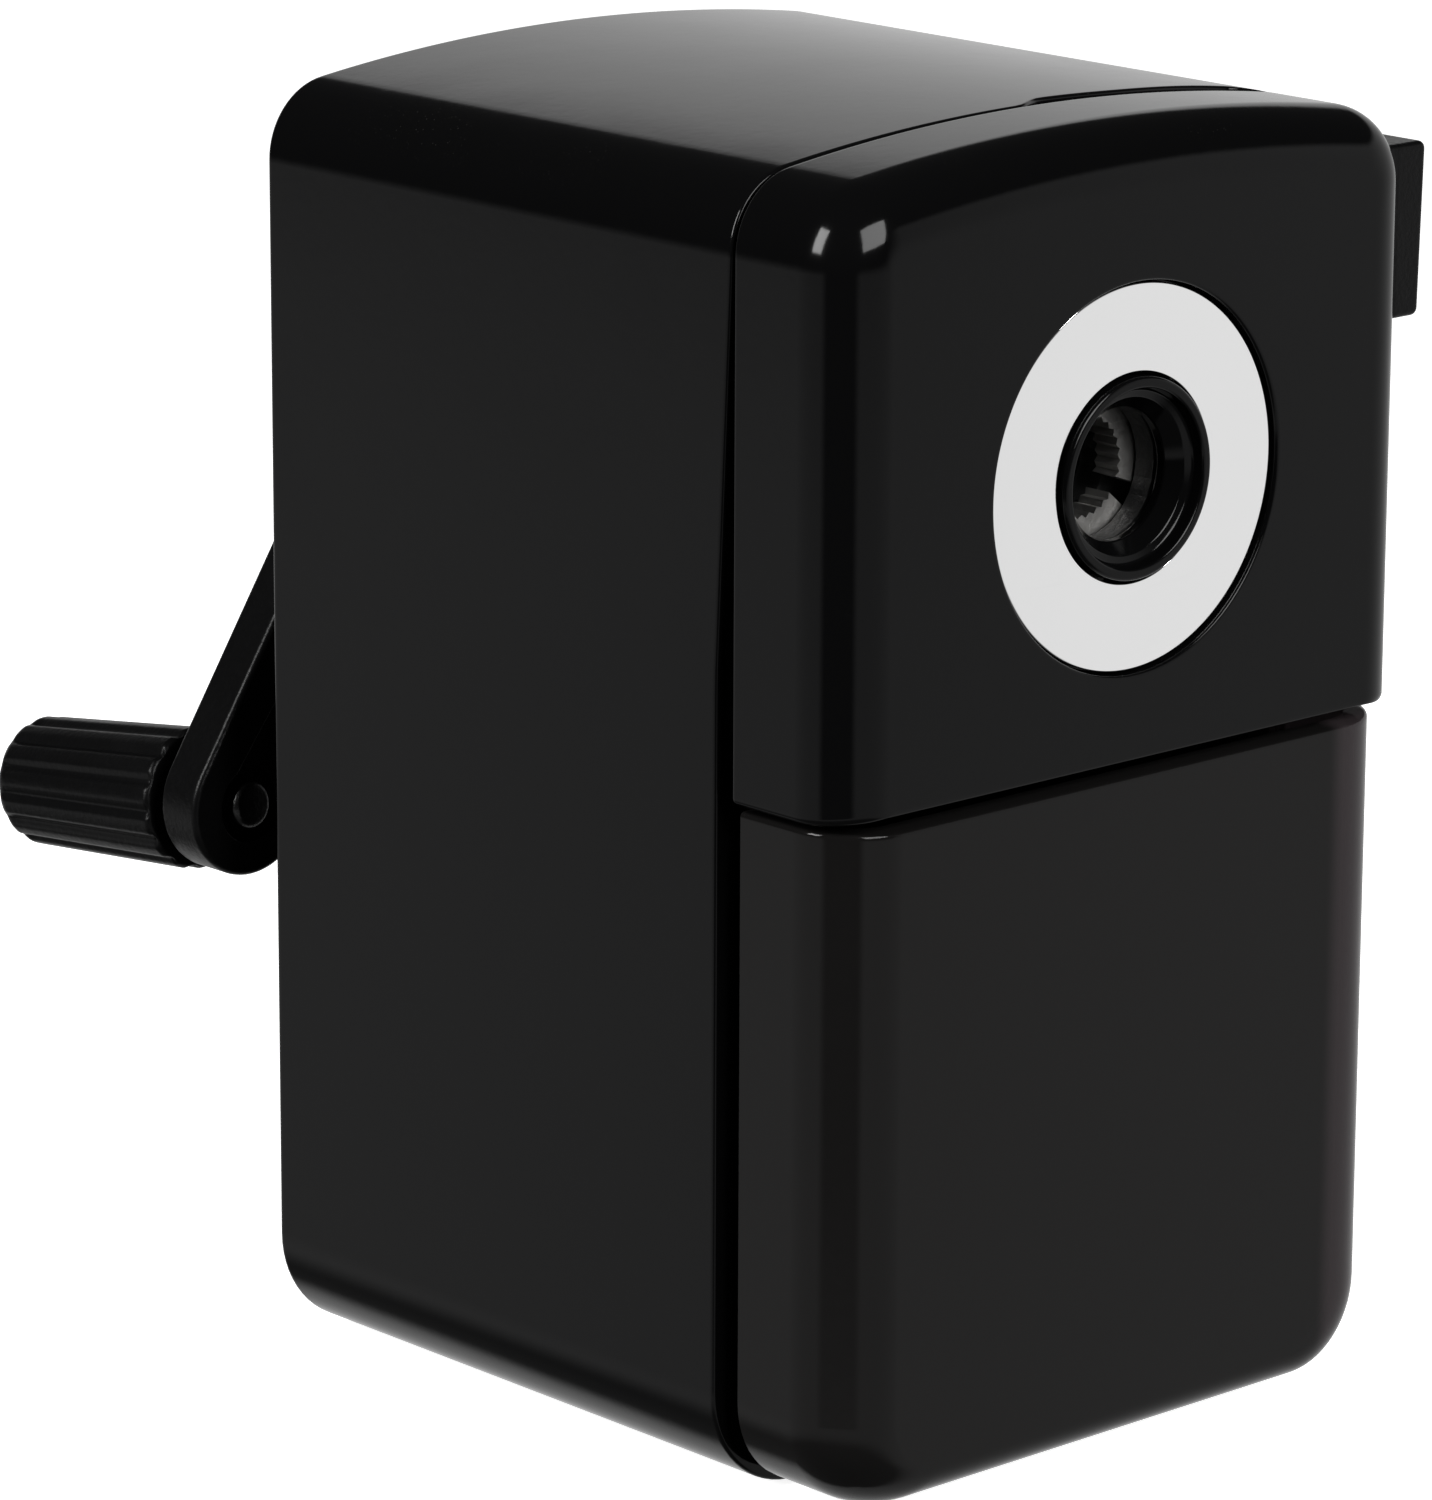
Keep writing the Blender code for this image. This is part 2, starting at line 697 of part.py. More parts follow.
def head_cover():
    """Front half of the feed head: a rounded shell with the ring pocket and the cam collar."""
    drop = AXIS_HEIGHT
    low = HEAD_BOTTOM
    rings = []
    for y, share in rounded_front(head_front, FRONT_ROUND, 4):
        lift = HEAD_EDGE * share
        outline = casing_outline(FRONT_ROUND * share, low + lift, HEAD_EDGE)
        rings.append(ring_at(outline, y, drop))
    rings.append(ring_at(casing_outline(0, low, HEAD_EDGE), head_rear, drop))
    cover = loft("head_cover", rings)
    inner_front = head_front + HEAD_WALL
    inner = []
    for y, share in rounded_front(inner_front, FRONT_ROUND - HEAD_WALL, 2):
        inset = HEAD_WALL + (FRONT_ROUND - HEAD_WALL) * share
        inner.append(ring_at(casing_outline(inset, low + HEAD_WALL, 0.0003), y, drop))
    inner_outline = casing_outline(HEAD_WALL, low + HEAD_WALL, 0.0003)
    inner.append(ring_at(inner_outline, head_rear + 0.001, drop))
    hollow = loft("head_hollow", inner)
    collar_radius = CAM_RADIUS + CLEARANCE
    boss_front = (0, inner_front - 0.0005, 0)
    boss = rod("ring_boss", FRONT_BOSS_RADIUS, boss_front, (0, boss_rear, 0), LARGE_STEPS)
    collar = rod(
        "cam_collar",
        collar_radius + COLLAR_WALL,
        (0, boss_rear - 0.0005, 0),
        (0, cam_rear - 0.0004, 0),
        ROUND_STEPS,
    )
    bosses = [
        rod(
            f"screw_boss_{number}",
            SMALL_SCREW_RADIUS + CLEARANCE + 0.0010,
            (x, inner_front - 0.0005, z),
            (x, chuck_front - CLEARANCE, z),
            12,
        )
        for number, (x, z) in enumerate(plate_screw_places(), 1)
    ]
    cut(cover, hollow)
    join(cover, boss, collar, *bosses)
    sweep = CAM_EAR_AT * math.sin(CAM_TURN / 2) + 0.0036
    in_front = head_front - 0.001
    bores = [
        ("ring_pocket", RING_RADIUS + RING_GAP, in_front, pocket_floor, LARGE_STEPS),
        ("bezel_bore", BEZEL_RADIUS + CLEARANCE, in_front, boss_rear + 0.0001, ROUND_STEPS),
        ("collar_bore", collar_radius, boss_rear - OVERCUT, cam_rear + 0.001, ROUND_STEPS),
    ]
    tools = [
        rod(name, radius, (0, start, 0), (0, end, 0), steps)
        for name, radius, start, end, steps in bores
    ]
    tools += [
        box(
            "ear_notch",
            (-sweep, boss_rear - 2 * OVERCUT, CAM_BORE),
            (sweep, cam_rear, CAM_EAR_AT + 0.0026),
        ),
        box(
            "lever_window",
            (half_width - 2 * HEAD_WALL, lever_front() - CLEARANCE, LEVER_LOW - CLEARANCE),
            (half_width + 0.001, lever_front() + LEVER_DEPTH + CLEARANCE, LEVER_HIGH + CLEARANCE),
        ),
    ]
    tools += [
        rod(
            f"boss_bore_{number}",
            SMALL_SCREW_RADIUS + CLEARANCE,
            (x, inner_front + 0.0016, z),
            (x, chuck_front + 0.001, z),
            12,
        )
        for number, (x, z) in enumerate(plate_screw_places(), 1)
    ]
    cut(cover, *tools)
    return finish(cover, black_gloss, head)


def lever_front():
    return head_front + FRONT_ROUND + 0.0001


def plate_screw_places():
    return [(side * x, z) for x, z in (PLATE_SCREW_HIGH, PLATE_SCREW_LOW) for side in (-1, 1)]


def chuck_plate():
    """Rear half of the feed head: closes the shell, guides the jaws and holds the rods."""
    fit = HEAD_WALL + CLEARANCE
    outline = [(x, z - AXIS_HEIGHT) for x, z in casing_outline(fit, HEAD_BOTTOM + fit, 0.0010)]
    chuck = plate("chuck_plate", outline, chuck_front, chuck_rear)
    sockets = [
        rod(
            f"rod_socket_{side}",
            ROD_RADIUS + CLEARANCE + SOCKET_WALL,
            (x, chuck_front - SOCKET_DEPTH - 0.0006, 0),
            (x, chuck_front + 0.0005, 0),
        )
        for side, x in (("left", -rod_at), ("right", rod_at))
    ]
    stop = box(
        "spring_stop",
        (SPRING_STOP_FROM, jaw_front, lever_middle - 0.0020),
        (SPRING_STOP_TO, chuck_front + 0.0005, lever_middle + 0.0020),
    )
    rail_low = lever_middle + LEVER_ARM_HALF + CLEARANCE
    rail = box(
        "lever_rail",
        (RAIL_FROM, jaw_front, rail_low),
        (RAIL_TO, chuck_front + 0.0005, rail_low + RAIL_THICK),
    )
    join(chuck, *sockets, stop, rail)
    before = chuck_front - 0.001
    behind = chuck_rear + 0.001
    tools = [rod("pencil_bore", JAW_BORE + JAW_TRAVEL, (0, before, 0), (0, behind, 0), ROUND_STEPS)]
    for number in range(1, JAW_COUNT + 1):
        slot = box(
            f"jaw_slot_{number}",
            (-TONGUE_HALF - JAW_SLOT, before, TONGUE_LOW - JAW_SLOT),
            (
                TONGUE_HALF + JAW_SLOT,
                chuck_front + TONGUE_REACH + JAW_SLOT,
                TONGUE_HIGH + JAW_TRAVEL + JAW_SLOT,
            ),
        )
        slot.data.transform(Matrix.Rotation(jaw_angle(number), 4, "Y"))
        tools.append(slot)
    for side, x in (("left", -rod_at), ("right", rod_at)):
        bore_front = (x, chuck_front - SOCKET_DEPTH, 0)
        tools.append(rod(f"socket_bore_{side}", ROD_RADIUS + CLEARANCE, bore_front, (x, behind, 0)))
    for number, (x, z) in enumerate(plate_screw_places(), 1):
        radius = SMALL_SCREW_RADIUS + CLEARANCE
        tools.append(rod(f"plate_hole_{number}", radius, (x, before, z), (x, behind, z), 12))
    cut(chuck, *tools)
    return finish(chuck, black_matte, head)


def jaw_angle(number):
    return math.radians(60) + 2 * math.pi * (number - 1) / JAW_COUNT


def plate_screws():
    seat = chuck_rear + CLEARANCE
    made = []
    for number, (x, z) in enumerate(plate_screw_places(), 1):
        tip = chuck_front - 0.0040
        profile = screw_profile(SMALL_SCREW_HEAD, SMALL_SCREW_HEIGHT, SMALL_SCREW_RADIUS, seat, tip)
        screw = turned(f"plate_screw_{number}", profile, False, 12)
        screw.location = (x, 0, z)
        made.append(finish(screw, steel, head))
    return made


def trim_ring():
    front = head_front + RING_SUNK
    bore = BEZEL_RADIUS + CLEARANCE
    profile = [
        (RING_RADIUS - 0.0002, front),
        (RING_RADIUS, front + 0.0002),
        (RING_RADIUS, front + RING_THICK),
        (bore, front + RING_THICK),
        (bore, front),
    ]
    return finish(turned("trim_ring", profile, True, LARGE_STEPS), mirror_steel, head)


def entry_bezel():
    """Pencil entry: a raised lip, a groove and a funnel down to the entry bore."""
    front = head_front - 0.0001
    rear = boss_rear - CLEARANCE / 3
    profile = [
        (BEZEL_RADIUS - 0.0003, front),
        (BEZEL_RADIUS, front + 0.0003),
        (BEZEL_RADIUS, rear),
        (ENTRY_RADIUS, rear),
        (ENTRY_RADIUS, rear - 0.0008),
        (ENTRY_RADIUS + 0.0011, front + 0.0011),
        (ENTRY_RADIUS + 0.0015, front + 0.0010),
        (ENTRY_RADIUS + 0.0018, front),
    ]
    return finish(turned("entry_bezel", profile, True), black_gloss, head)


def clamp_jaw(number):
    """A steel jaw: a toothed sector with a cam pin in front and a guide tongue behind."""
    steps = 8
    outline = []
    for i in range(2 * steps + 1):
        angle = -JAW_HALF_ANGLE + JAW_HALF_ANGLE * i / steps
        radius = JAW_BORE + (JAW_TOOTH if i % 2 else 0.0)
        outline.append((radius * math.sin(angle), radius * math.cos(angle)))
    for i in range(steps, -1, -1):
        angle = -JAW_HALF_ANGLE + 2 * JAW_HALF_ANGLE * i / steps
        outline.append((JAW_RADIUS * math.sin(angle), JAW_RADIUS * math.cos(angle)))
    jaw = plate(f"clamp_jaw_{number}", outline, jaw_front, jaw_rear)
    pin_front = (0, cam_front + 0.0004, JAW_PIN_AT)
    pin = rod(f"cam_pin_{number}", JAW_PIN_RADIUS, pin_front, (0, jaw_front + 0.0005, JAW_PIN_AT), 12)
    tongue = box(
        f"tongue_{number}",
        (-TONGUE_HALF, jaw_rear - 0.0005, TONGUE_LOW),
        (TONGUE_HALF, chuck_front + TONGUE_REACH, TONGUE_HIGH),
    )
    for piece in (jaw, pin, tongue):
        piece.data.transform(Matrix.Rotation(jaw_angle(number), 4, "Y"))
    join(jaw, pin, tongue)
    return finish(jaw, steel, head)


def cam_slot_outline(start_angle):
    """A slot whose centre moves outward in step with the cam's turn."""
    half = JAW_PIN_RADIUS + CAM_SLOT_GAP
    centres = []
    for i in range(-1, 10):
        share = i / 8
        angle = start_angle + CAM_TURN * share
        radius = JAW_PIN_AT + JAW_TRAVEL * share
        centres.append(Vector((radius * math.sin(angle), radius * math.cos(angle))))
    along = (centres[-1] - centres[0]).normalized()
    side = Vector((along.y, -along.x))
    left = [centre + side * half for centre in centres]
    right = [centre - side * half for centre in centres]
    ahead = along * half * 0.6
    across = side * half * 0.6
    head_end = [centres[-1] + ahead + across, centres[-1] + ahead - across]
    tail_end = [centres[0] - ahead - across, centres[0] - ahead + across]
    return [tuple(point) for point in left + head_end + right[::-1] + tail_end]


def cam_ring():
    """Turned by the lever; its three slots drive the jaw pins in and out."""
    profile = [
        (CAM_RADIUS, cam_front),
        (CAM_RADIUS, cam_rear),
        (CAM_BORE, cam_rear),
        (CAM_BORE, cam_front),
    ]
    cam = turned("cam_ring", profile, True)
    ear_angle = CAM_TURN / 2
    ear = box(
        "cam_ear",
        (-CAM_EAR_HALF, cam_front, CAM_RADIUS - 0.0010),
        (CAM_EAR_HALF, cam_rear, CAM_EAR_AT + EAR_PIN_RADIUS + 0.0009),
    )
    pin_rear = (0, jaw_rear - CLEARANCE, CAM_EAR_AT)
    pin = rod("ear_pin", EAR_PIN_RADIUS, (0, cam_rear - 0.0005, CAM_EAR_AT), pin_rear, 12)
    for piece in (ear, pin):
        piece.data.transform(Matrix.Rotation(ear_angle, 4, "Y"))
    join(cam, ear, pin)
    slots = [
        plate(
            f"cam_slot_{number}",
            cam_slot_outline(jaw_angle(number)),
            cam_front - 0.001,
            cam_rear + 0.001,
        )
        for number in range(1, JAW_COUNT + 1)
    ]
    cut(cam, *slots)
    return finish(cam, black_matte, head)


def release_lever():
    """Side button and its arm; pressing it in turns the cam ring and opens the jaws."""
    front = lever_front()
    rear = front + LEVER_DEPTH
    outer = half_width + LEVER_OUT
    inner = half_width - HEAD_WALL + LEVER_TRAVEL + 2 * CLEARANCE
    edge = LEVER_EDGE
    rings = []
    for y, draw in ((front, edge), (front + edge, 0.0), (rear - edge, 0.0), (rear, edge)):
        low, high = LEVER_LOW + draw, LEVER_HIGH - draw
        far = outer - draw
        outline = [
            (inner, low),
            (far - LEVER_DRAFT - edge, low),
            (far - LEVER_DRAFT, low + edge),
            (far, high - edge),
            (far - edge, high),
            (inner, high),
        ]
        rings.append(ring_at(outline, y))
    lever = loft("release_lever", rings)
    arm_high = lever_middle + LEVER_ARM_HALF
    shoulder = box(
        "lever_shoulder",
        (half_width - LEVER_SHOULDER, front + edge, LEVER_LOW + edge),
        (inner + 0.0005, jaw_rear, LEVER_HIGH - edge),
    )
    neck = box(
        "lever_neck",
        (LEVER_NECK_FROM, front + edge + 0.0002, LEVER_NECK_LOW),
        (half_width, jaw_rear - 0.0002, arm_high),
    )
    arm = box(
        "lever_arm",
        (LEVER_ARM_END, jaw_front, lever_middle - LEVER_ARM_HALF),
        (LEVER_NECK_FROM + 0.0005, jaw_rear, arm_high),
    )
    join(lever, shoulder, neck, arm)
    rest_x = CAM_EAR_AT * math.sin(CAM_TURN / 2)
    half = EAR_PIN_RADIUS + CLEARANCE
    slot = box(
        "lever_slot",
        (rest_x - half, jaw_front - 0.001, CAM_EAR_AT - 0.0015),
        (rest_x + half, jaw_rear + 0.001, CAM_EAR_AT + 0.0013),
    )
    cut(lever, slot)
    return finish(lever, black_satin, head)


def lever_spring():
    y = (jaw_front + jaw_rear) / 2 - 0.0001
    start = (LEVER_ARM_END - CLEARANCE, y, lever_middle)
    end = (SPRING_STOP_TO + CLEARANCE, y, lever_middle)
    coil = spring("lever_spring", LEVER_SPRING_RADIUS, start, end, 5, LEVER_SPRING_WIRE)
    return finish(coil, steel, head)


def guide_rods():
    made = []
    for side, x in (("left", -rod_at), ("right", rod_at)):
        bar = rod(f"guide_rod_{side}", ROD_RADIUS, (x, chuck_front - 0.0035, 0), (x, rod_rear, 0), 12)
        groove = turned(
            f"clip_groove_{side}",
            [
                (ROD_RADIUS + 0.001, rod_rear - 0.0018),
                (ROD_RADIUS + 0.001, rod_rear - 0.0004),
                (ROD_RADIUS - 0.0006, rod_rear - 0.0004),
                (ROD_RADIUS - 0.0006, rod_rear - 0.0018),
            ],
            True,
            12,
        )
        groove.data.transform(Matrix.Translation((x, 0, 0)))
        made.append(finish(cut(bar, groove), steel, head))
    return made


def rod_clips():
    """Retaining washers that sit in the rod grooves and carry the return springs."""
    made = []
    for side, x in (("left", -rod_at), ("right", rod_at)):
        front = rod_rear - 0.0016
        bore = ROD_RADIUS - 0.0003
        rear = front + CLIP_THICK
        profile = [(CLIP_RADIUS, front), (CLIP_RADIUS, rear), (bore, rear), (bore, front)]
        clip = turned(f"rod_clip_{side}", profile, True, 16)
        clip.location = (x, 0, 0)
        made.append(finish(clip, steel, head))
    return made


def return_springs():
    made = []
    radius = ROD_RADIUS + CLEARANCE + SPRING_WIRE + 0.00015
    for side, x in (("left", -rod_at), ("right", rod_at)):
        start = (x, frame_rear + CLEARANCE, 0)
        end = (x, rod_rear - 0.0016 - CLEARANCE, 0)
        coil = spring(f"return_spring_{side}", radius, start, end, SPRING_TURNS, SPRING_WIRE)
        made.append(finish(coil, steel, head))
    return made


def axle_point(distance):
    """The point on the cutter axle at a distance in front of the apex."""
    return Vector((0, cutter_apex - distance * math.cos(CUTTER_TILT), distance * math.sin(CUTTER_TILT)))


def cutter_carrier():
    """Cast cage: a front plate and a rear hub joined by two bars, with the tilted axle bores."""
    front = frame_rear + CLEARANCE
    plate_rear = front + CARRIER_PLATE
    carrier = rod("cutter_carrier", CARRIER_RADIUS, (0, front, 0), (0, plate_rear, 0), ROUND_STEPS)
    hub_ends = (0, carrier_hub_front, 0), (0, carrier_hub_rear, 0)
    hub = rod("carrier_hub", CARRIER_RADIUS, *hub_ends, ROUND_STEPS)
    bars = []
    for number, middle in ((1, math.radians(125)), (2, math.radians(235))):
        outline = []
        for radius, order in ((CARRIER_RADIUS - 0.0004, (-1, 0, 1)), (0.0070, (1, 0, -1))):
            for step in order:
                angle = middle + step * math.radians(20)
                outline.append((radius * math.sin(angle), radius * math.cos(angle)))
        bar_rear = carrier_hub_front + 0.0005
        bars.append(plate(f"carrier_bar_{number}", outline, plate_rear - 0.0005, bar_rear))
    join(carrier, hub, *bars)
    tools = [
        rod("carrier_bore", CARRIER_BORE, (0, front - 0.001, 0), (0, plate_rear + 0.001, 0), ROUND_STEPS),
        rod(
            "axle_bore",
            AXLE_RADIUS + CLEARANCE,
            axle_point(axle_reach_front() + 0.003),
            axle_point(axle_reach_rear() - 0.0003),
            12,
        ),
        rod(
            "shaft_socket",
            SHAFT_RADIUS + CLEARANCE,
            (0, carrier_hub_rear - 0.0044, 0),
            (0, carrier_hub_rear + 0.001, 0),
            24,
        ),
    ]
    cut(carrier, *tools)
    return finish(carrier, zinc, rotor)


def axle_reach_front():
    """Distance from the apex to the axle's front end, just inside the front plate."""
    return (cutter_apex - frame_rear - CLEARANCE - 0.0004) / math.cos(CUTTER_TILT)


def axle_reach_rear():
    return (cutter_apex - carrier_hub_front - 0.0018) / math.cos(CUTTER_TILT)


def cutter_pin():
    pin = rod("cutter_pin", AXLE_RADIUS, axle_point(axle_reach_front()), axle_point(axle_reach_rear()), 12)
    return finish(pin, steel, rotor)


def planet_gear():
    """Pinion on the cutter's front end; a tooth points straight out into the ring gear."""
    reach = (cutter_apex - gear_y) / math.cos(CUTTER_TILT)
    pitch_radius = GEAR_MODULE * PLANET_TEETH / 2 - 0.0001
    teeth = gear_outline(PLANET_TEETH, pitch_radius, True, math.radians(1.0), 0.0)
    rings = []
    for along in (-PLANET_WIDTH / 2, PLANET_WIDTH / 2):
        rings.append(ring_at(scaled(teeth, (reach - along) / reach), along))
    gear = loft("planet_gear", rings)
    cut(gear, rod("planet_bore", AXLE_RADIUS + CLEARANCE, (0, -0.01, 0), (0, 0.01, 0), 12))
    return finish(gear, zinc, cutter)


def helical_cutter():
    """Fluted cutter on the tilted axle."""
    front = PLANET_WIDTH / 2 + CLEARANCE
    rear = cutter_rear - gear_y
    sections = 9
    rings = []
    for i in range(sections):
        share = i / (sections - 1)
        twist = CUTTER_TWIST * share
        outline = []
        for flute in range(CUTTER_FLUTES):
            base = twist + 2 * math.pi * flute / CUTTER_FLUTES
            for depth, offset in FLUTE_PROFILE:
                radius = CUTTER_RADIUS - depth
                outline.append((radius * math.sin(base + offset), radius * math.cos(base + offset)))
        rings.append(ring_at(outline, front + (rear - front) * share))
    mill = loft("helical_cutter", rings)
    cut(mill, rod("cutter_bore", AXLE_RADIUS + CLEARANCE, (0, -0.01, 0), (0, 0.04, 0), 12))
    return finish(mill, tool_steel, cutter)


def shaft_outline(radius, flat):
    """Round with one flat across the top."""
    half = math.acos(flat / radius)
    return arc((0, 0), radius, math.pi / 2 + half, math.pi / 2 - half + 2 * math.pi, 20)


def drive_shaft():
    front = carrier_hub_rear - 0.0041
    flat_from = hub_boss_front - 0.0008
    rear = crank_front + 0.0024
    shaft = rod("drive_shaft", SHAFT_RADIUS, (0, front, 0), (0, flat_from + 0.0004, 0), 20)
    join(shaft, plate("shaft_flat", shaft_outline(SHAFT_RADIUS, SHAFT_FLAT), flat_from, rear))
    cut(shaft, rod("shaft_thread", 0.0016, (0, rear - 0.0060, 0), (0, rear + 0.001, 0), 12))
    return finish(shaft, steel, crank)


def thrust_washer():
    front = carrier_hub_rear + CLEARANCE
    rear = bush_front - CLEARANCE
    bore = SHAFT_RADIUS + CLEARANCE
    profile = [(WASHER_RADIUS, front), (WASHER_RADIUS, rear), (bore, rear), (bore, front)]
    return finish(turned("thrust_washer", profile, True, 24), steel, crank)


def arm_outline(hub_radius, end_radius, length):
    """Two round ends and the tangents between them; the arm points down from the hub."""
    lean = math.asin((hub_radius - end_radius) / length)
    points = arc((0, 0), hub_radius, -lean, math.pi + lean, 14)
    points += arc((0, -length), end_radius, math.pi + lean, 2 * math.pi - lean, 14)
    return points


def crank_arm():
    """Flat arm with a hub for the shaft, a channel on its inner face and a seat for the rivet."""
    outline = arm_outline(CRANK_HUB_RADIUS, CRANK_END_RADIUS, CRANK_LENGTH)
    arm = plate("crank_arm", outline, crank_front, crank_rear)
    boss_ends = (0, hub_boss_front, 0), (0, crank_front + 0.0005, 0)
    front_boss = rod("hub_boss_front", HUB_BOSS_RADIUS, *boss_ends, 24)
    boss_ends = (0, crank_rear - 0.0005, 0), (0, crank_rear + REAR_BOSS_HEIGHT, 0)
    rear_boss = rod("hub_boss_rear", REAR_BOSS_RADIUS, *boss_ends, 24, REAR_BOSS_TOP)
    join(arm, front_boss, rear_boss)
    web = crank_front + HUB_WEB
    before = crank_front - 0.001
    behind = crank_rear + REAR_BOSS_HEIGHT + 0.001
    channel = box(
        "arm_channel",
        (-CHANNEL_HALF, before, -CRANK_LENGTH),
        (CHANNEL_HALF, crank_front + CHANNEL_DEPTH, -CHANNEL_START),
    )
    seat_floor = (0, crank_front + SEAT_DEPTH, -CRANK_LENGTH)
    seat = rod("rivet_seat", SEAT_RADIUS, (0, before, -CRANK_LENGTH), seat_floor, 24)
    bore_outline = shaft_outline(SHAFT_RADIUS + CLEARANCE, SHAFT_FLAT + CLEARANCE)
    lean = Vector((0, math.cos(KNOB_SPLAY), -math.sin(KNOB_SPLAY)))
    pivot = Vector((0, crank_front, -CRANK_LENGTH))
    tools = [
        channel,
        seat,
        rod("rivet_bore", RIVET_RADIUS + CLEARANCE, pivot - lean * 0.002, pivot + lean * 0.006, 16),
        plate("hub_bore", bore_outline, hub_boss_front - 0.001, web),
        rod("hub_screw_bore", 0.0018, (0, web - 0.001, 0), (0, behind, 0), 12),
        rod("hub_recess", HUB_RECESS_RADIUS, (0, web + HUB_FLOOR, 0), (0, behind, 0), 24),
    ]
    cut(arm, *tools)
    return finish(arm, black_satin, crank)


def crank_screw():
    seat = crank_front + HUB_WEB + HUB_FLOOR + CLEARANCE
    tip = crank_front - 0.0030
    profile = screw_profile(CRANK_SCREW_HEAD, CRANK_SCREW_HEIGHT, CRANK_SCREW_RADIUS, seat, tip)
    screw = turned("crank_screw", profile, False, 20)
    head_top = seat + CRANK_SCREW_HEIGHT
    recess = cross_recess("crank_recess", 0, 0, 0.0016, head_top - 0.0008, head_top + 0.0004)
    return finish(cut(screw, recess), steel, crank)


def handle_pin():
    """Dome-headed rivet that carries the knob."""
    tip = CRANK_THICK + KNOB_LENGTH - 0.0025
    profile = [
        (0.0, -0.0003),
        (0.0009, -0.0001),
        (0.0015, 0.0003),
        (RIVET_HEAD_RADIUS, 0.0008),
        (RIVET_RADIUS, 0.0009),
        (RIVET_RADIUS, tip),
        (0.0, tip),
    ]
    return finish(turned("handle_pin", profile, False, 16), steel, knob)


def crank_knob():
    """Fluted grip on the rivet, slimmer towards its free end."""
    near = CRANK_THICK + 0.0017
    far = CRANK_THICK + KNOB_LENGTH
    rings = []
    stations = [
        (near, KNOB_RADIUS - 0.0006),
        (near + 0.0004, KNOB_RADIUS),
        (far - 0.0010, KNOB_END_RADIUS),
        (far - 0.0003, KNOB_END_RADIUS - 0.0003),
        (far, KNOB_END_RADIUS - 0.0010),
    ]
    for y, radius in stations:
        outline = []
        for i in range(4 * KNOB_FLUTES):
            angle = 2 * math.pi * i / (4 * KNOB_FLUTES)
            reach = radius - FLUTE_DEPTH * (1.0 if i % 4 == 2 else 0.33 if i % 2 else 0.0)
            outline.append((reach * math.sin(angle), reach * math.cos(angle)))
        rings.append(ring_at(outline, y))
    grip = loft("crank_knob", rings)
    join(grip, rod("knob_neck", 0.0037, (0, near - 0.0008, 0), (0, near + 0.0010, 0), 24))
    cut(grip, rod("knob_bore", RIVET_RADIUS + CLEARANCE, (0, near - 0.002, 0), (0, far - 0.0021, 0), 16))
    return finish(grip, black_satin, knob)


def shavings_drawer():
    """Smoke-tinted drawer: a rounded front block with a tray behind it, open at the top."""
    side = half_width - DRAWER_INSET
    rings = []
    for y, share in rounded_front(head_front + 0.0002, DRAWER_ROUND, 5):
        low = DRAWER_BOTTOM + 0.0030 * share
        high = DRAWER_TOP - 0.0004 * share
        radius = DRAWER_LOW_RADIUS - 0.0030 * share
        rings.append(ring_at(tray_outline(side - DRAWER_ROUND * share, low, high, radius), y))
    rings.append(ring_at(tray_outline(side, DRAWER_BOTTOM, DRAWER_TOP, DRAWER_LOW_RADIUS), head_rear))
    drawer = loft("shavings_drawer", rings)
    tray_side = half_width - CASE_WALL - 0.0006
    tray_low = FLOOR_WALL + 0.0004
    tray = tray_outline(tray_side, tray_low, TRAY_TOP, LOW_RADIUS - CASE_WALL)
    join(drawer, loft("tray_body", [ring_at(tray, head_rear - 0.001), ring_at(tray, tray_rear)]))
    wall = DRAWER_WALL
    over = DRAWER_TOP + 0.002
    front_room = []
    for y, share in rounded_front(head_front + wall, DRAWER_ROUND - wall, 3):
        inset = wall + (DRAWER_ROUND - wall) * share
        low = DRAWER_BOTTOM + wall + 0.0012 * share
        front_room.append(ring_at(tray_outline(side - inset, low, over, DRAWER_LOW_RADIUS - wall), y))
    front_outline = tray_outline(side - wall, DRAWER_BOTTOM + wall, over, DRAWER_LOW_RADIUS - wall)
    front_room.append(ring_at(front_outline, head_rear - wall))
    tray_room = tray_outline(tray_side - wall, tray_low + wall, over, LOW_RADIUS - CASE_WALL - wall)
    rooms = [
        loft("front_room", front_room),
        loft(
            "tray_room",
            [ring_at(tray_room, head_rear - wall - 0.001), ring_at(tray_room, tray_rear - wall)],
        ),
    ]
    cut(drawer, *rooms)
    return finish(drawer, smoke_plastic, drawer_frame)


clear_scene()
tools_of = {}
parts = new_collection(OBJECT_NAME)
cutters = new_collection("cutters")

black_gloss = new_material("black_gloss", (0.012, 0.012, 0.013), 0.16)
black_satin = new_material("black_satin", (0.016, 0.016, 0.017), 0.38)
black_matte = new_material("black_matte", (0.020, 0.020, 0.020), 0.55)
grey_plastic = new_material("grey_plastic", (0.30, 0.30, 0.30), 0.45)
smoke_plastic = new_material("smoke_plastic", (0.035, 0.030, 0.028), 0.12, 0.0, 0.6)
mirror_steel = new_material("mirror_steel", (0.90, 0.90, 0.90), 0.05, 1.0)
steel = new_material("steel", (0.62, 0.61, 0.59), 0.30, 1.0)
tool_steel = new_material("tool_steel", (0.45, 0.45, 0.46), 0.35, 1.0)
zinc = new_material("zinc", (0.50, 0.50, 0.49), 0.45, 1.0)

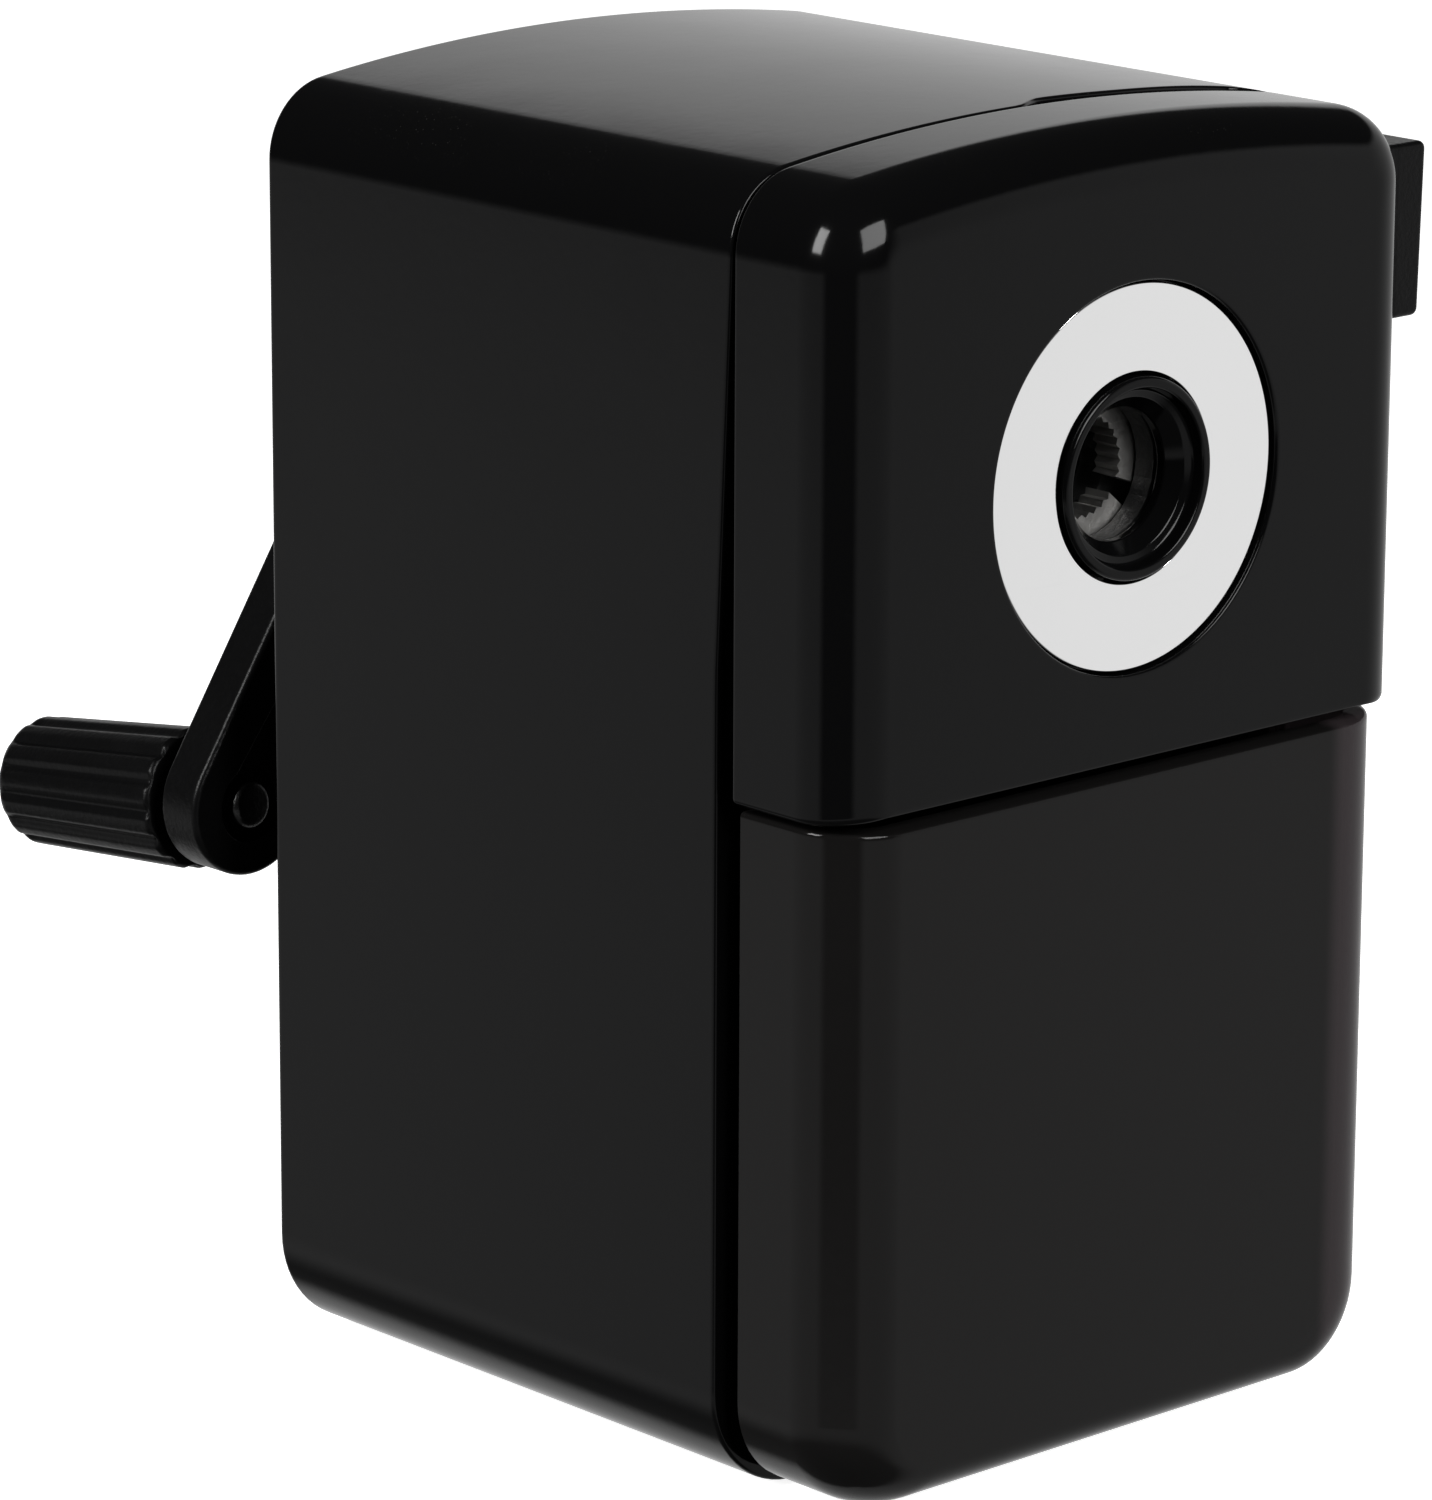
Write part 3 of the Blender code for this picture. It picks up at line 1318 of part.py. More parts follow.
head = new_empty("head_axis", (0, 0, AXIS_HEIGHT))
rotor = new_empty("carrier_axis", (0, 0, AXIS_HEIGHT), (0, CUTTER_PARK_ANGLE, 0))
axle_middle = axle_point((cutter_apex - gear_y) / math.cos(CUTTER_TILT))
cutter = new_empty("cutter_axis", axle_middle, (-CUTTER_TILT, 0, 0), rotor)
crank = new_empty("crank_axis", (0, 0, AXIS_HEIGHT), (0, CRANK_PARK_ANGLE, 0))
knob = new_empty("knob_axis", (0, crank_front, -CRANK_LENGTH), (-KNOB_SPLAY, 0, 0), crank)
drawer_frame = new_empty("drawer_axis", (0, 0, 0))

body_shell()
mechanism_frame()
ring_gear()
rear_bearing()
frame_screws()
head_cover()
chuck_plate()
plate_screws()
trim_ring()
entry_bezel()
for jaw_number in range(1, JAW_COUNT + 1):
    clamp_jaw(jaw_number)
cam_ring()
release_lever()
lever_spring()
guide_rods()
rod_clips()
return_springs()
cutter_carrier()
cutter_pin()
planet_gear()
helical_cutter()
drive_shaft()
thrust_washer()
crank_arm()
crank_screw()
handle_pin()
crank_knob()
shavings_drawer()
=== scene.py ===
import json
import math
import bpy
import numpy as np
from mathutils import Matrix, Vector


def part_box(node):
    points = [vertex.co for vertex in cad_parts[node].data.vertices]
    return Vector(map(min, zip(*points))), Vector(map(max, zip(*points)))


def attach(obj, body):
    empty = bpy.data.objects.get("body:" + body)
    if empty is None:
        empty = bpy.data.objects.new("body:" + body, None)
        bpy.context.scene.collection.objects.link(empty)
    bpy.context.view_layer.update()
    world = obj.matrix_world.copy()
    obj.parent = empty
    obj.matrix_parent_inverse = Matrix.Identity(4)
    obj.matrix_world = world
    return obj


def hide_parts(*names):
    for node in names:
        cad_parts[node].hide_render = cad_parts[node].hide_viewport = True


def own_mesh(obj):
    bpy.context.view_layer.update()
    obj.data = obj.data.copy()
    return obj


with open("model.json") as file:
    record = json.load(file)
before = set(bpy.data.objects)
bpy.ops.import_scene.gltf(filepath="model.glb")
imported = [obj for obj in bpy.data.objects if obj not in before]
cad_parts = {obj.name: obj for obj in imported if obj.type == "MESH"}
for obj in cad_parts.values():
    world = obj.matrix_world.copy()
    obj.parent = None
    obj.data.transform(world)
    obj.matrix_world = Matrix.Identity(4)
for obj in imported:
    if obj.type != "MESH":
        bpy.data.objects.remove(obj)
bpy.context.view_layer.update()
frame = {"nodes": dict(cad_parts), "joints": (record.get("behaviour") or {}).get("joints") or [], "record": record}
print("frame loaded:", len(frame["nodes"]), "nodes")

mm = 0.001
quarterTurn = math.pi / 2
faceGuard = 0.12
axisZ = frame["joints"][0]["pos_m"][2]
headLow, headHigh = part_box("head_cover")
bodyLow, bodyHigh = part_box("body_shell")
headFront, headRear = headLow[1], headHigh[1]
bodyRear = bodyHigh[1]
halfWidth = bodyHigh[0]
caseTop = bodyHigh[2]

view = {"azimuth": -42.34, "elevation": 14.61, "roll": 0.23, "lens": 175.54,
        "target": (-29.17, -25.0, 56.77), "distance": 518.6}


def placeCamera():
    # stands on a sphere round the target, looks at it, then rolls about its own line of sight
    az, el, roll = (math.radians(view[key]) for key in ("azimuth", "elevation", "roll"))
    back = np.array([math.sin(az) * math.cos(el), -math.cos(az) * math.cos(el), math.sin(el)])
    right = np.cross([0, 0, 1], back)
    right /= np.linalg.norm(right)
    up = np.cross(back, right)
    rolledRight = math.cos(roll) * right + math.sin(roll) * up
    rolledUp = -math.sin(roll) * right + math.cos(roll) * up
    data = bpy.data.cameras.new("sharpenerCamera")
    data.lens, data.sensor_width, data.clip_start, data.clip_end = view["lens"], 36.0, 0.01, 20.0
    camera = bpy.data.objects.new("sharpenerCamera", data)
    bpy.context.scene.collection.objects.link(camera)
    place = np.eye(4)
    place[:3, :3] = np.stack([rolledRight, rolledUp, back], axis=1)
    place[:3, 3] = (np.array(view["target"]) + back * view["distance"]) * mm
    camera.matrix_world = place.T.tolist()
    bpy.context.scene.camera = camera
    return back


towardCamera = placeCamera()

studio = {"sweep": 0.66, "below": 0.12, "backdrop": 0.74, "ceiling": 0.035, "softbox": 6.0}


class Nodes:
    # short way to add nodes to one tree and join them
    def __init__(self, tree):
        self.tree = tree

    def add(self, kind, settings=None, **inputs):
        node = self.tree.nodes.new("ShaderNode" + kind)
        for key, value in (settings or {}).items():
            setattr(node, key, value)
        for key, value in inputs.items():
            self.feed(node, key, value)
        return node

    def feed(self, node, key, value):
        byNumber = key[0] == "_" and key[1:].isdigit()
        socket = node.inputs[int(key[1:]) if byNumber else key.replace("_", " ")]
        if hasattr(value, "is_output"):
            self.tree.links.new(value, socket)
        else:
            socket.default_value = value

    def math(self, operation, a, b=0.0, c=0.0):
        return self.add("Math", {"operation": operation}, _0=a, _1=b, _2=c).outputs[0]

    def ramp(self, value, low, high, toLow=0.0, toHigh=1.0):
        return self.add("MapRange", {"interpolation_type": "SMOOTHSTEP"}, Value=value, From_Min=low,
                        From_Max=high, To_Min=toLow, To_Max=toHigh).outputs["Result"]

    def mix(self, factor, a, b):
        node = self.add("Mix", {"data_type": "RGBA"})
        for socket, value in ((0, factor), (6, a), (7, b)):
            if hasattr(value, "is_output"):
                self.tree.links.new(value, node.inputs[socket])
            else:
                node.inputs[socket].default_value = value
        return node.outputs[2]


def buildWorld():
    # a pale sweep below the horizon and a bright backdrop low behind the object, under a dim ceiling
    world = bpy.data.worlds.new("studio")
    bpy.context.scene.world = world
    world.use_nodes = True
    world.node_tree.nodes.clear()
    n = Nodes(world.node_tree)
    direction = n.add("TexCoord").outputs["Generated"]
    height = n.add("SeparateXYZ", _0=direction).outputs[2]
    flat = n.add("VectorMath", {"operation": "MULTIPLY"}, _0=direction, _1=(1, 1, 0)).outputs[0]
    flat = n.add("VectorMath", {"operation": "NORMALIZE"}, _0=flat).outputs[0]

    def facing(degrees):
        angle = math.radians(degrees)
        return n.add("VectorMath", {"operation": "DOT_PRODUCT"}, _0=flat,
                     _1=(math.cos(angle), math.sin(angle), 0)).outputs["Value"]

    sweep = n.ramp(height, -0.42, -0.62, studio["sweep"], studio["below"])
    sweep = n.math("MULTIPLY", n.ramp(height, -0.06, -0.22), sweep)
    backdrop = n.math("MULTIPLY", n.ramp(height, 0.42, 0.30), n.ramp(facing(20), 0.05, 0.45))
    backdrop = n.math("MULTIPLY", backdrop, studio["backdrop"])
    glow = n.math("MAXIMUM", sweep, backdrop)
    # the dark side of the room, behind the camera
    dark = n.math("MULTIPLY", n.ramp(facing(-143), 0.80, 0.93), n.ramp(height, -0.40, -0.28))
    glow = n.math("MULTIPLY", glow, n.math("SUBTRACT", 1.0, dark))
    glow = n.math("MAXIMUM", glow, studio["ceiling"])
    seen = n.add("LightPath").outputs["Is Camera Ray"]
    strength = n.math("MAXIMUM", glow, n.math("MULTIPLY", seen, 1.02))
    background = n.add("Background", Color=(1, 1, 1, 1), Strength=strength)
    out = n.add("OutputWorld")
    n.tree.links.new(background.outputs[0], out.inputs[0])


def addSoftbox(name, azimuth, elevation, distance, width, height, power):
    # a flat lamp on a sphere round the object, turned to face it; azimuth counts from +X
    az, el = math.radians(azimuth), math.radians(elevation)
    away = np.array([math.cos(az) * math.cos(el), math.sin(az) * math.cos(el), math.sin(el)])
    side = np.cross([0, 0, 1], away)
    side /= np.linalg.norm(side)
    data = bpy.data.lights.new(name, "AREA")
    data.shape, data.size, data.size_y, data.energy = "RECTANGLE", width, height, power
    lamp = bpy.data.objects.new(name, data)
    lamp.visible_camera = False
    bpy.context.scene.collection.objects.link(lamp)
    place = np.eye(4)
    place[:3, :3] = np.stack([side, np.cross(away, side), away], axis=1)
    place[:3, 3] = np.array([0, 0, 0.06]) + away * distance
    lamp.matrix_world = place.T.tolist()


def buildFloor():
    # a wide disc whose glow keeps it pale at every distance
    angle = np.linspace(0, 2 * math.pi, 97)[:-1]
    rim = np.stack([3 * np.cos(angle), 3 * np.sin(angle), np.full(96, -0.0002)], axis=1)
    mesh = bpy.data.meshes.new("floor")
    mesh.from_pydata(rim.tolist(), [], [list(range(96))])
    floor = bpy.data.objects.new("floor", mesh)
    bpy.context.scene.collection.objects.link(floor)
    material = bpy.data.materials.new("floorPaper")
    material.use_nodes = True
    n = Nodes(material.node_tree)
    shader = n.tree.nodes["Principled BSDF"]
    n.feed(shader, "Base Color", (0.8, 0.8, 0.8, 1))
    n.feed(shader, "Roughness", 0.9)
    n.feed(shader, "Emission Color", (1, 1, 1, 1))
    n.feed(shader, "Emission Strength", 0.9)
    mesh.materials.append(material)
    floor.visible_glossy = False
    floor.visible_diffuse = False
    floor.visible_transmission = False


buildWorld()
buildFloor()
addSoftbox("softboxLeft", 172, 30, 0.7, 0.22, 0.36, studio["softbox"])
addSoftbox("softboxRight", -90, 30, 0.7, 0.42, 0.36, studio["softbox"])
bpy.context.scene.view_settings.view_transform = "Standard"
print("camera, floor and lights placed")


def surface(name, rows, wrapRows=False, sharpAt=38):
    # rows of ring points joined by quads; flat caps close the end rings unless the rows wrap round,
    # and the sign of the volume turns the faces outward
    rows = np.asarray(rows, float)
    count, around = rows.shape[:2]
    index = np.arange(count * around).reshape(count, around)
    if wrapRows:
        index = np.vstack([index, index[:1]])
    a, b = index[:-1], index[1:]
    quads = np.stack([a, np.roll(a, -1, 1), np.roll(b, -1, 1), b], axis=-1).reshape(-1, 4)
    points = rows.reshape(-1, 3)
    faces = quads.tolist()
    if not wrapRows:
        faces.append(index[0][::-1].tolist())
        faces.append(index[-1].tolist())
    corner = points[quads]
    volume = np.einsum("ij,ij->", corner[:, 0], np.cross(corner[:, 1], corner[:, 2]))
    volume += np.einsum("ij,ij->", corner[:, 0], np.cross(corner[:, 2], corner[:, 3]))
    if not wrapRows:
        for ring, sign in ((rows[0], -1), (rows[-1], 1)):
            middle = ring.mean(0)
            volume += sign * np.sum(np.cross(ring, np.roll(ring, -1, 0)) * middle)
    if volume < 0:
        faces = [face[::-1] for face in faces]
    return meshPiece(name, points, faces, sharpAt)


def meshPiece(name, points, faces, sharpAt=38):
    # points in millimetres become a smooth-shaded mesh in metres, sharp where faces meet steeply
    mesh = bpy.data.meshes.new(name)
    mesh.from_pydata((np.asarray(points) * mm).tolist(), [], faces)
    mesh.update()
    mesh.polygons.foreach_set("use_smooth", np.ones(len(mesh.polygons), bool))
    mesh.set_sharp_from_angle(angle=math.radians(sharpAt))
    piece = bpy.data.objects.new(name, mesh)
    bpy.context.scene.collection.objects.link(piece)
    return piece


def roundPath(corners, radii, steps=8, closed=False):
    # a polyline whose corners become arcs, with a guard point just before and after each arc
    corners = np.asarray(corners, float)
    points = []
    last = len(corners) - 1
    for i, (corner, radius) in enumerate(zip(corners, radii)):
        if radius <= 0 or (not closed and i in (0, last)):
            points.append(corner)
            continue
        before = corners[i - 1] - corner
        after = corners[(i + 1) % len(corners)] - corner
        lengths = np.linalg.norm(before), np.linalg.norm(after)
        before, after = before / lengths[0], after / lengths[1]
        half = math.acos(np.clip(before @ after, -1, 1)) / 2
        reach = min(radius / math.tan(half), 0.49 * min(lengths))
        radius = reach * math.tan(half)
        centre = corner + (before + after) / np.linalg.norm(before + after) * radius / math.sin(half)
        start, end = corner + before * reach, corner + after * reach
        share = np.linspace(0, 1, steps + 1)[:, None]
        turn = math.pi - 2 * half
        u, w = start - centre, end - centre
        arc = (np.sin((1 - share) * turn) * u + np.sin(share * turn) * w) / math.sin(turn) + centre
        guard = min(0.12, 0.2 * reach)
        if guard > 0.004:
            points.append(start + before * guard)
        points.extend(arc)
        if guard > 0.004:
            points.append(end + after * guard)
    return np.array(points)


def spread(start, end, inside, guard=0.15):
    # points strictly between two ends, with one close to each end so flats stay flat
    start, end = np.asarray(start, float), np.asarray(end, float)
    length = max(np.linalg.norm(end - start), 1e-6)
    edge = min(guard / length, 0.2)
    middle = np.linspace(0, 1, inside + 2)[1:-1] * (1 - 4 * edge) + 2 * edge
    share = np.concatenate([[edge], middle, [1 - edge]])
    return start + (end - start) * share[:, None]


def arcPoints(centre, radius, start, end, steps):
    angle = np.linspace(start, end, steps + 1)
    return np.stack([centre[0] + radius * np.cos(angle), centre[1] + radius * np.sin(angle)], axis=1)


def quarterRound(radius, count):
    # (ahead, inset) pairs round a quarter circle that starts on a face and ends on the side
    angle = np.linspace(0, quarterTurn, count)
    return np.stack([radius * (1 - np.cos(angle)), radius * (1 - np.sin(angle))], axis=1)


def moved(points, place):
    return np.asarray(points) @ place[:3, :3].T + place[:3, 3]


def turnedRows(profile, angle):
    # every (radius, y) point of a profile as a ring about the Y axis
    radius, y = profile[:, :1], profile[:, 1:]
    return np.stack([radius * np.sin(angle), y + 0 * angle, radius * np.cos(angle)], axis=-1)


def lathe(name, profile, radii, around, place, closed=True):
    # a profile of (radius, y) corners, rounded and turned about an axis along Y, then put in its place
    angle = np.linspace(0, 2 * math.pi, around + 1)[:-1]
    rows = turnedRows(roundPath(profile, radii, 6, closed), angle)
    return surface(name, moved(rows, place), wrapRows=closed)


def shift(x, y, z):
    place = np.eye(4)
    place[:3, 3] = (x, y, z)
    return place


def turnAbout(axis, angle):
    # right-handed turn about one of the three axes
    c, s = math.cos(angle), math.sin(angle)
    place = np.eye(4)
    a, b = {"x": (1, 2), "y": (2, 0), "z": (0, 1)}[axis]
    place[a, a], place[a, b], place[b, a], place[b, b] = c, -s, s, c
    return place


def swept(name, outline, stations, place):
    # an (x, z) outline carried along Y; a station is (y, inset), and the outline is drawn in by its inset
    outline = np.asarray(outline, float)
    ahead, behind = np.roll(outline, -1, 0), np.roll(outline, 1, 0)
    tangent = ahead - outline
    tangent /= np.linalg.norm(tangent, axis=1)[:, None] + 1e-12
    back = outline - behind
    back /= np.linalg.norm(back, axis=1)[:, None] + 1e-12
    normalA = np.stack([tangent[:, 1], -tangent[:, 0]], axis=1)
    normalB = np.stack([back[:, 1], -back[:, 0]], axis=1)
    normal = normalA + normalB
    normal /= np.maximum(np.linalg.norm(normal, axis=1)[:, None] ** 2 / 2, 0.05)
    area = np.sum(outline[:, 0] * ahead[:, 1] - ahead[:, 0] * outline[:, 1])
    normal *= np.sign(area)
    rows = []
    for y, inset in stations:
        ring = outline - normal * inset
        rows.append(np.stack([ring[:, 0], np.full(len(ring), y), ring[:, 1]], axis=1))
    return surface(name, moved(rows, place))


def edgeStations(yFrom, yTo, roundFrom, roundTo, steps=5):
    # (y, inset) stations of a plate whose two faces have rounded edges, with a row just past each rounding
    first = [(yFrom + ahead, inset) for ahead, inset in quarterRound(roundFrom, steps + 1)]
    second = [(yTo - ahead, inset) for ahead, inset in quarterRound(roundTo, steps + 1)[::-1]]
    middle = [(yFrom + roundFrom + faceGuard, 0.0), (yTo - roundTo - faceGuard, 0.0)]
    return [(yFrom, roundFrom + faceGuard)] + first + middle + second + [(yTo, roundTo + faceGuard)]


def carve(target, tools, operation="DIFFERENCE"):
    # cuts or joins other closed surfaces, then drops them
    for tool in tools:
        step = target.modifiers.new(tool.name, "BOOLEAN")
        step.operation, step.solver, step.object = operation, "EXACT", tool
    graph = bpy.context.evaluated_depsgraph_get()
    made = bpy.data.meshes.new_from_object(target.evaluated_get(graph))
    target.modifiers.clear()
    old = target.data
    target.data = made
    bpy.data.meshes.remove(old)
    for tool in tools:
        bpy.data.objects.remove(tool, do_unlink=True)
    made.polygons.foreach_set("use_smooth", np.ones(len(made.polygons), bool))
    made.set_sharp_from_angle(angle=math.radians(38))
    return target


def soften(piece, width):
    # a small round on every edge left sharp, then normals weighted towards the flats
    bevel = piece.modifiers.new("softEdge", "BEVEL")
    bevel.width, bevel.segments, bevel.limit_method = width * mm, 2, "ANGLE"
    bevel.angle_limit, bevel.miter_outer = math.radians(40), "MITER_ARC"
    bevel.harden_normals = False
    weigh = piece.modifiers.new("flatNormals", "WEIGHTED_NORMAL")
    weigh.keep_sharp = True
    return piece


def install(piece, body, material, slotName, *nodes):
    # gives a finished piece its finish and its CAD body, and hides the CAD nodes it stands for
    piece.data.materials.clear()
    piece.data.materials.append(material)
    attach(piece, body)
    if nodes:
        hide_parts(*nodes)
    return piece


def newGroup(name, inputs, outputs):
    tree = bpy.data.node_groups.new(name, "ShaderNodeTree")
    for label, kind, value in inputs:
        socket = tree.interface.new_socket(name=label, in_out="INPUT", socket_type="NodeSocket" + kind)
        socket.default_value = value
    for label, kind in outputs:
        tree.interface.new_socket(name=label, in_out="OUTPUT", socket_type="NodeSocket" + kind)
    n = Nodes(tree)
    place = n.add("TexCoord").outputs["Object"]
    return n, place, tree.nodes.new("NodeGroupInput"), tree.nodes.new("NodeGroupOutput")


def buildHandling():
    # soft smears where fingers rest and a few hair-thin scratches; both are masks from 0 to 1
    inputs = [("Smear Size", "Float", 60.0), ("Scratch Size", "Float", 30.0)]
    n, place, given, out = newGroup("handlingMarks", inputs, [("Smears", "Float"), ("Scratches", "Float")])
    smear = n.add("TexNoise", Vector=place, Scale=given.outputs[0], Detail=3.0, Roughness=0.55,
                  Distortion=1.2)
    smears = n.ramp(smear.outputs[0], 0.45, 0.72)
    hairs = []
    for angles in ((0.3, 0.1, 0.5), (1.1, 0.8, -0.4)):
        turned = n.add("Mapping", _0=place, Rotation=angles, Scale=(1.0, 14.0, 14.0))
        hair = n.add("TexNoise", Vector=turned.outputs[0], Scale=given.outputs[1], Detail=2.0,
                     Roughness=0.4)
        line = n.math("ABSOLUTE", n.math("SUBTRACT", hair.outputs[0], 0.5))
        hairs.append(n.ramp(line, 0.006, 0.0))
    patch = n.add("TexNoise", Vector=place, Scale=140.0, Detail=1.0)
    hair = n.math("MAXIMUM", hairs[0], hairs[1])
    scratches = n.math("MULTIPLY", hair, n.ramp(patch.outputs[0], 0.56, 0.70))
    n.tree.links.new(smears, out.inputs[0])
    n.tree.links.new(scratches, out.inputs[1])
    return n.tree


def buildGrain():
    # fine moulding or casting grain as a height, with a slower swell under it
    inputs = [("Grain Size", "Float", 3000.0), ("Swell Size", "Float", 90.0), ("Swell Share", "Float", 0.5)]
    n, place, given, out = newGroup("mouldGrain", inputs, [("Height", "Float"), ("Speckle", "Float")])
    grain = n.add("TexNoise", Vector=place, Scale=given.outputs[0], Detail=2.0, Roughness=0.6)
    swell = n.add("TexNoise", Vector=place, Scale=given.outputs[1], Detail=1.0)
    blend = n.add("Mix", {"data_type": "FLOAT"}, _0=given.outputs[2], _2=grain.outputs[0],
                  _3=swell.outputs[0])
    n.tree.links.new(blend.outputs[0], out.inputs[0])
    n.tree.links.new(n.ramp(grain.outputs[0], 0.35, 0.65), out.inputs[1])
    return n.tree


def buildDust():
    # pale specks that settle on faces turned upward
    inputs = [("Amount", "Float", 0.3), ("Speck Size", "Float", 2500.0)]
    n, place, given, out = newGroup("settledDust", inputs, [("Dust", "Float")])
    normal = n.add("NewGeometry").outputs["Normal"]
    upward = n.ramp(n.add("SeparateXYZ", _0=normal).outputs[2], 0.2, 1.0)
    specks = n.add("TexVoronoi", Vector=place, Scale=given.outputs[1])
    dots = n.ramp(specks.outputs["Distance"], 0.16, 0.05)
    patch = n.add("TexNoise", Vector=place, Scale=70.0, Detail=3.0)
    dots = n.math("MULTIPLY", upward, dots)
    dust = n.math("MULTIPLY", dots, n.ramp(patch.outputs[0], 0.52, 0.75))
    n.tree.links.new(n.math("MULTIPLY", dust, given.outputs[0]), out.inputs[0])
    return n.tree


handlingGroup, grainGroup, dustGroup = buildHandling(), buildGrain(), buildDust()

finishes = {
    # colour, roughness, metallic, transmission, ior, grain size, grain height, swell share,
    # then how strongly smears, scratches and dust show
    "blackGloss": ((0.0018, 0.0018, 0.0019), 0.09, 0, 0, 1.235, 900, 0.00002, 0.8, 0.03, 0.03, 0.08),
    "blackSatin": ((0.0020, 0.0020, 0.0021), 0.30, 0, 0, 1.20, 2600, 0.00004, 0.2, 0.05, 0.05, 0.08),
    "blackMatte": ((0.010, 0.010, 0.010), 0.52, 0, 0, 1.40, 1800, 0.0001, 0.2, 0.05, 0.05, 0.15),
    "greyPlastic": ((0.22, 0.22, 0.22), 0.45, 0, 0, 1.45, 1800, 0.00008, 0.2, 0.06, 0.05, 0.10),
    "smokePlastic": ((0.0085, 0.0080, 0.0078), 0.08, 0, 0.35, 1.235, 900, 0.00002, 0.8, 0.03, 0.03, 0.05),
    "mirrorSteel": ((0.99, 0.99, 0.99), 0.05, 1, 0, 1.45, 1500, 0.000004, 0.7, 0.02, 0.06, 0.0),
    "turnedSteel": ((0.60, 0.59, 0.57), 0.24, 1, 0, 1.45, 2600, 0.00004, 0.2, 0.08, 0.20, 0.0),
    "toolSteel": ((0.40, 0.40, 0.41), 0.32, 1, 0, 1.45, 2600, 0.00006, 0.2, 0.10, 0.20, 0.0),
    "jawSteel": ((0.62, 0.61, 0.59), 0.34, 1, 0, 1.45, 2600, 0.00004, 0.2, 0.08, 0.20, 0.0),
    "darkSteel": ((0.050, 0.050, 0.050), 0.26, 1, 0, 1.45, 2600, 0.00004, 0.2, 0.08, 0.10, 0.0),
    "castZinc": ((0.45, 0.45, 0.44), 0.42, 1, 0, 1.45, 1500, 0.00012, 0.3, 0.10, 0.10, 0.05),
}
slotFinish = {"black_gloss": "blackGloss", "black_satin": "blackSatin", "black_matte": "blackMatte",
              "grey_plastic": "greyPlastic", "smoke_plastic": "smokePlastic", "mirror_steel": "mirrorSteel",
              "steel": "turnedSteel", "tool_steel": "toolSteel", "zinc": "castZinc"}


def buildFinish(name, colour, roughness, metallic, transmission, ior,
                grainSize, grainHeight, swellShare, smear, scratch, dust):
    # colour lifted by dust and scratches; roughness from smears, specks and scratches; bump from the grain
    material = bpy.data.materials.new(name)
    material.use_nodes = True
    n = Nodes(material.node_tree)
    shader = n.tree.nodes["Principled BSDF"]
    handling = n.add("Group", {"node_tree": handlingGroup})
    grain = n.add("Group", {"node_tree": grainGroup})
    grain.inputs[0].default_value = grainSize
    grain.inputs[2].default_value = swellShare
    rough = n.math("MULTIPLY_ADD", handling.outputs[0], smear, roughness)
    rough = n.math("MULTIPLY_ADD", grain.outputs[1], roughness * 0.12, rough)
    marks = n.math("MULTIPLY", handling.outputs[1], scratch)
    rough = n.math("ADD", marks, rough)
    bright = tuple(min(1.0, c * 1.3 + 0.01) for c in colour) + (1.0,)
    tint = n.mix(marks, colour + (1.0,), bright)
    if dust > 0:
        settled = n.add("Group", {"node_tree": dustGroup})
        settled.inputs[0].default_value = dust
        tint = n.mix(settled.outputs[0], tint, (0.35, 0.34, 0.32, 1.0))
        rough = n.math("MULTIPLY_ADD", settled.outputs[0], 0.5, rough)
    n.feed(shader, "Base Color", tint)
    n.feed(shader, "Roughness", rough)
    shader.inputs["Metallic"].default_value = metallic
    shader.inputs["Transmission Weight"].default_value = transmission
    shader.inputs["IOR"].default_value = ior
    height = n.math("MULTIPLY_ADD", marks, -0.5, grain.outputs[0])
    bump = n.add("Bump", Strength=1.0, Distance=grainHeight, Height=height)
    n.tree.links.new(bump.outputs[0], shader.inputs["Normal"])
    return material


finish = {name: buildFinish(name, *values) for name, values in finishes.items()}
# painted light on the drawer: where the painted lighter strip starts and ends across the drawer, in millimetres,
# and its colour
rimPaintedLight = {"from": 21.0, "to": 22.8, "colour": (0.036, 0.029, 0.031, 1.0)}


def paintRimLight(material):
    # painted light: the strip towards the drawer's right-hand wall gets a lighter, warmer base colour, painted in
    # to stand for more light coming through that wall
    n = Nodes(material.node_tree)
    shader = n.tree.nodes["Principled BSDF"]
    across = n.add("SeparateXYZ", _0=n.add("TexCoord").outputs["Object"]).outputs[0]
    rim = n.ramp(across, rimPaintedLight["from"] * mm, rimPaintedLight["to"] * mm)
    tint = shader.inputs["Base Color"].links[0].from_socket
    n.feed(shader, "Base Color", n.mix(rim, tint, rimPaintedLight["colour"]))


paintRimLight(finish["smokePlastic"])
slots = {part["node"]: part["material_slot"] for part in frame["record"]["subparts"]}
for nodeName, node in frame["nodes"].items():
    node.data.materials.clear()
    node.data.materials.append(finish[slotFinish[slots[nodeName]]])
print("finishes built:", len(finish))

case = {"crown": 2.5, "topRadius": 5.9, "lowRadius": 8.4, "wall": 2.0, "rearWall": 2.2, "rearEdge": 0.5,
        "lipEdge": 0.25, "recess": 1.7, "recessLow": 62.0, "recessHigh": 92.0,
        "slotFrom": -1.5, "slotTo": 25.6, "slotDepth": 1.5, "slotSpread": 0.7, "gap": 0.2, "midDepth": -10.0}
rowGuard = 0.15
halfWide, tall = halfWidth / mm, caseTop / mm
frontY, rearY = headFront / mm, bodyRear / mm
headRearY = headRear / mm
lipY = bodyLow[1] / mm
axisUp = axisZ / mm


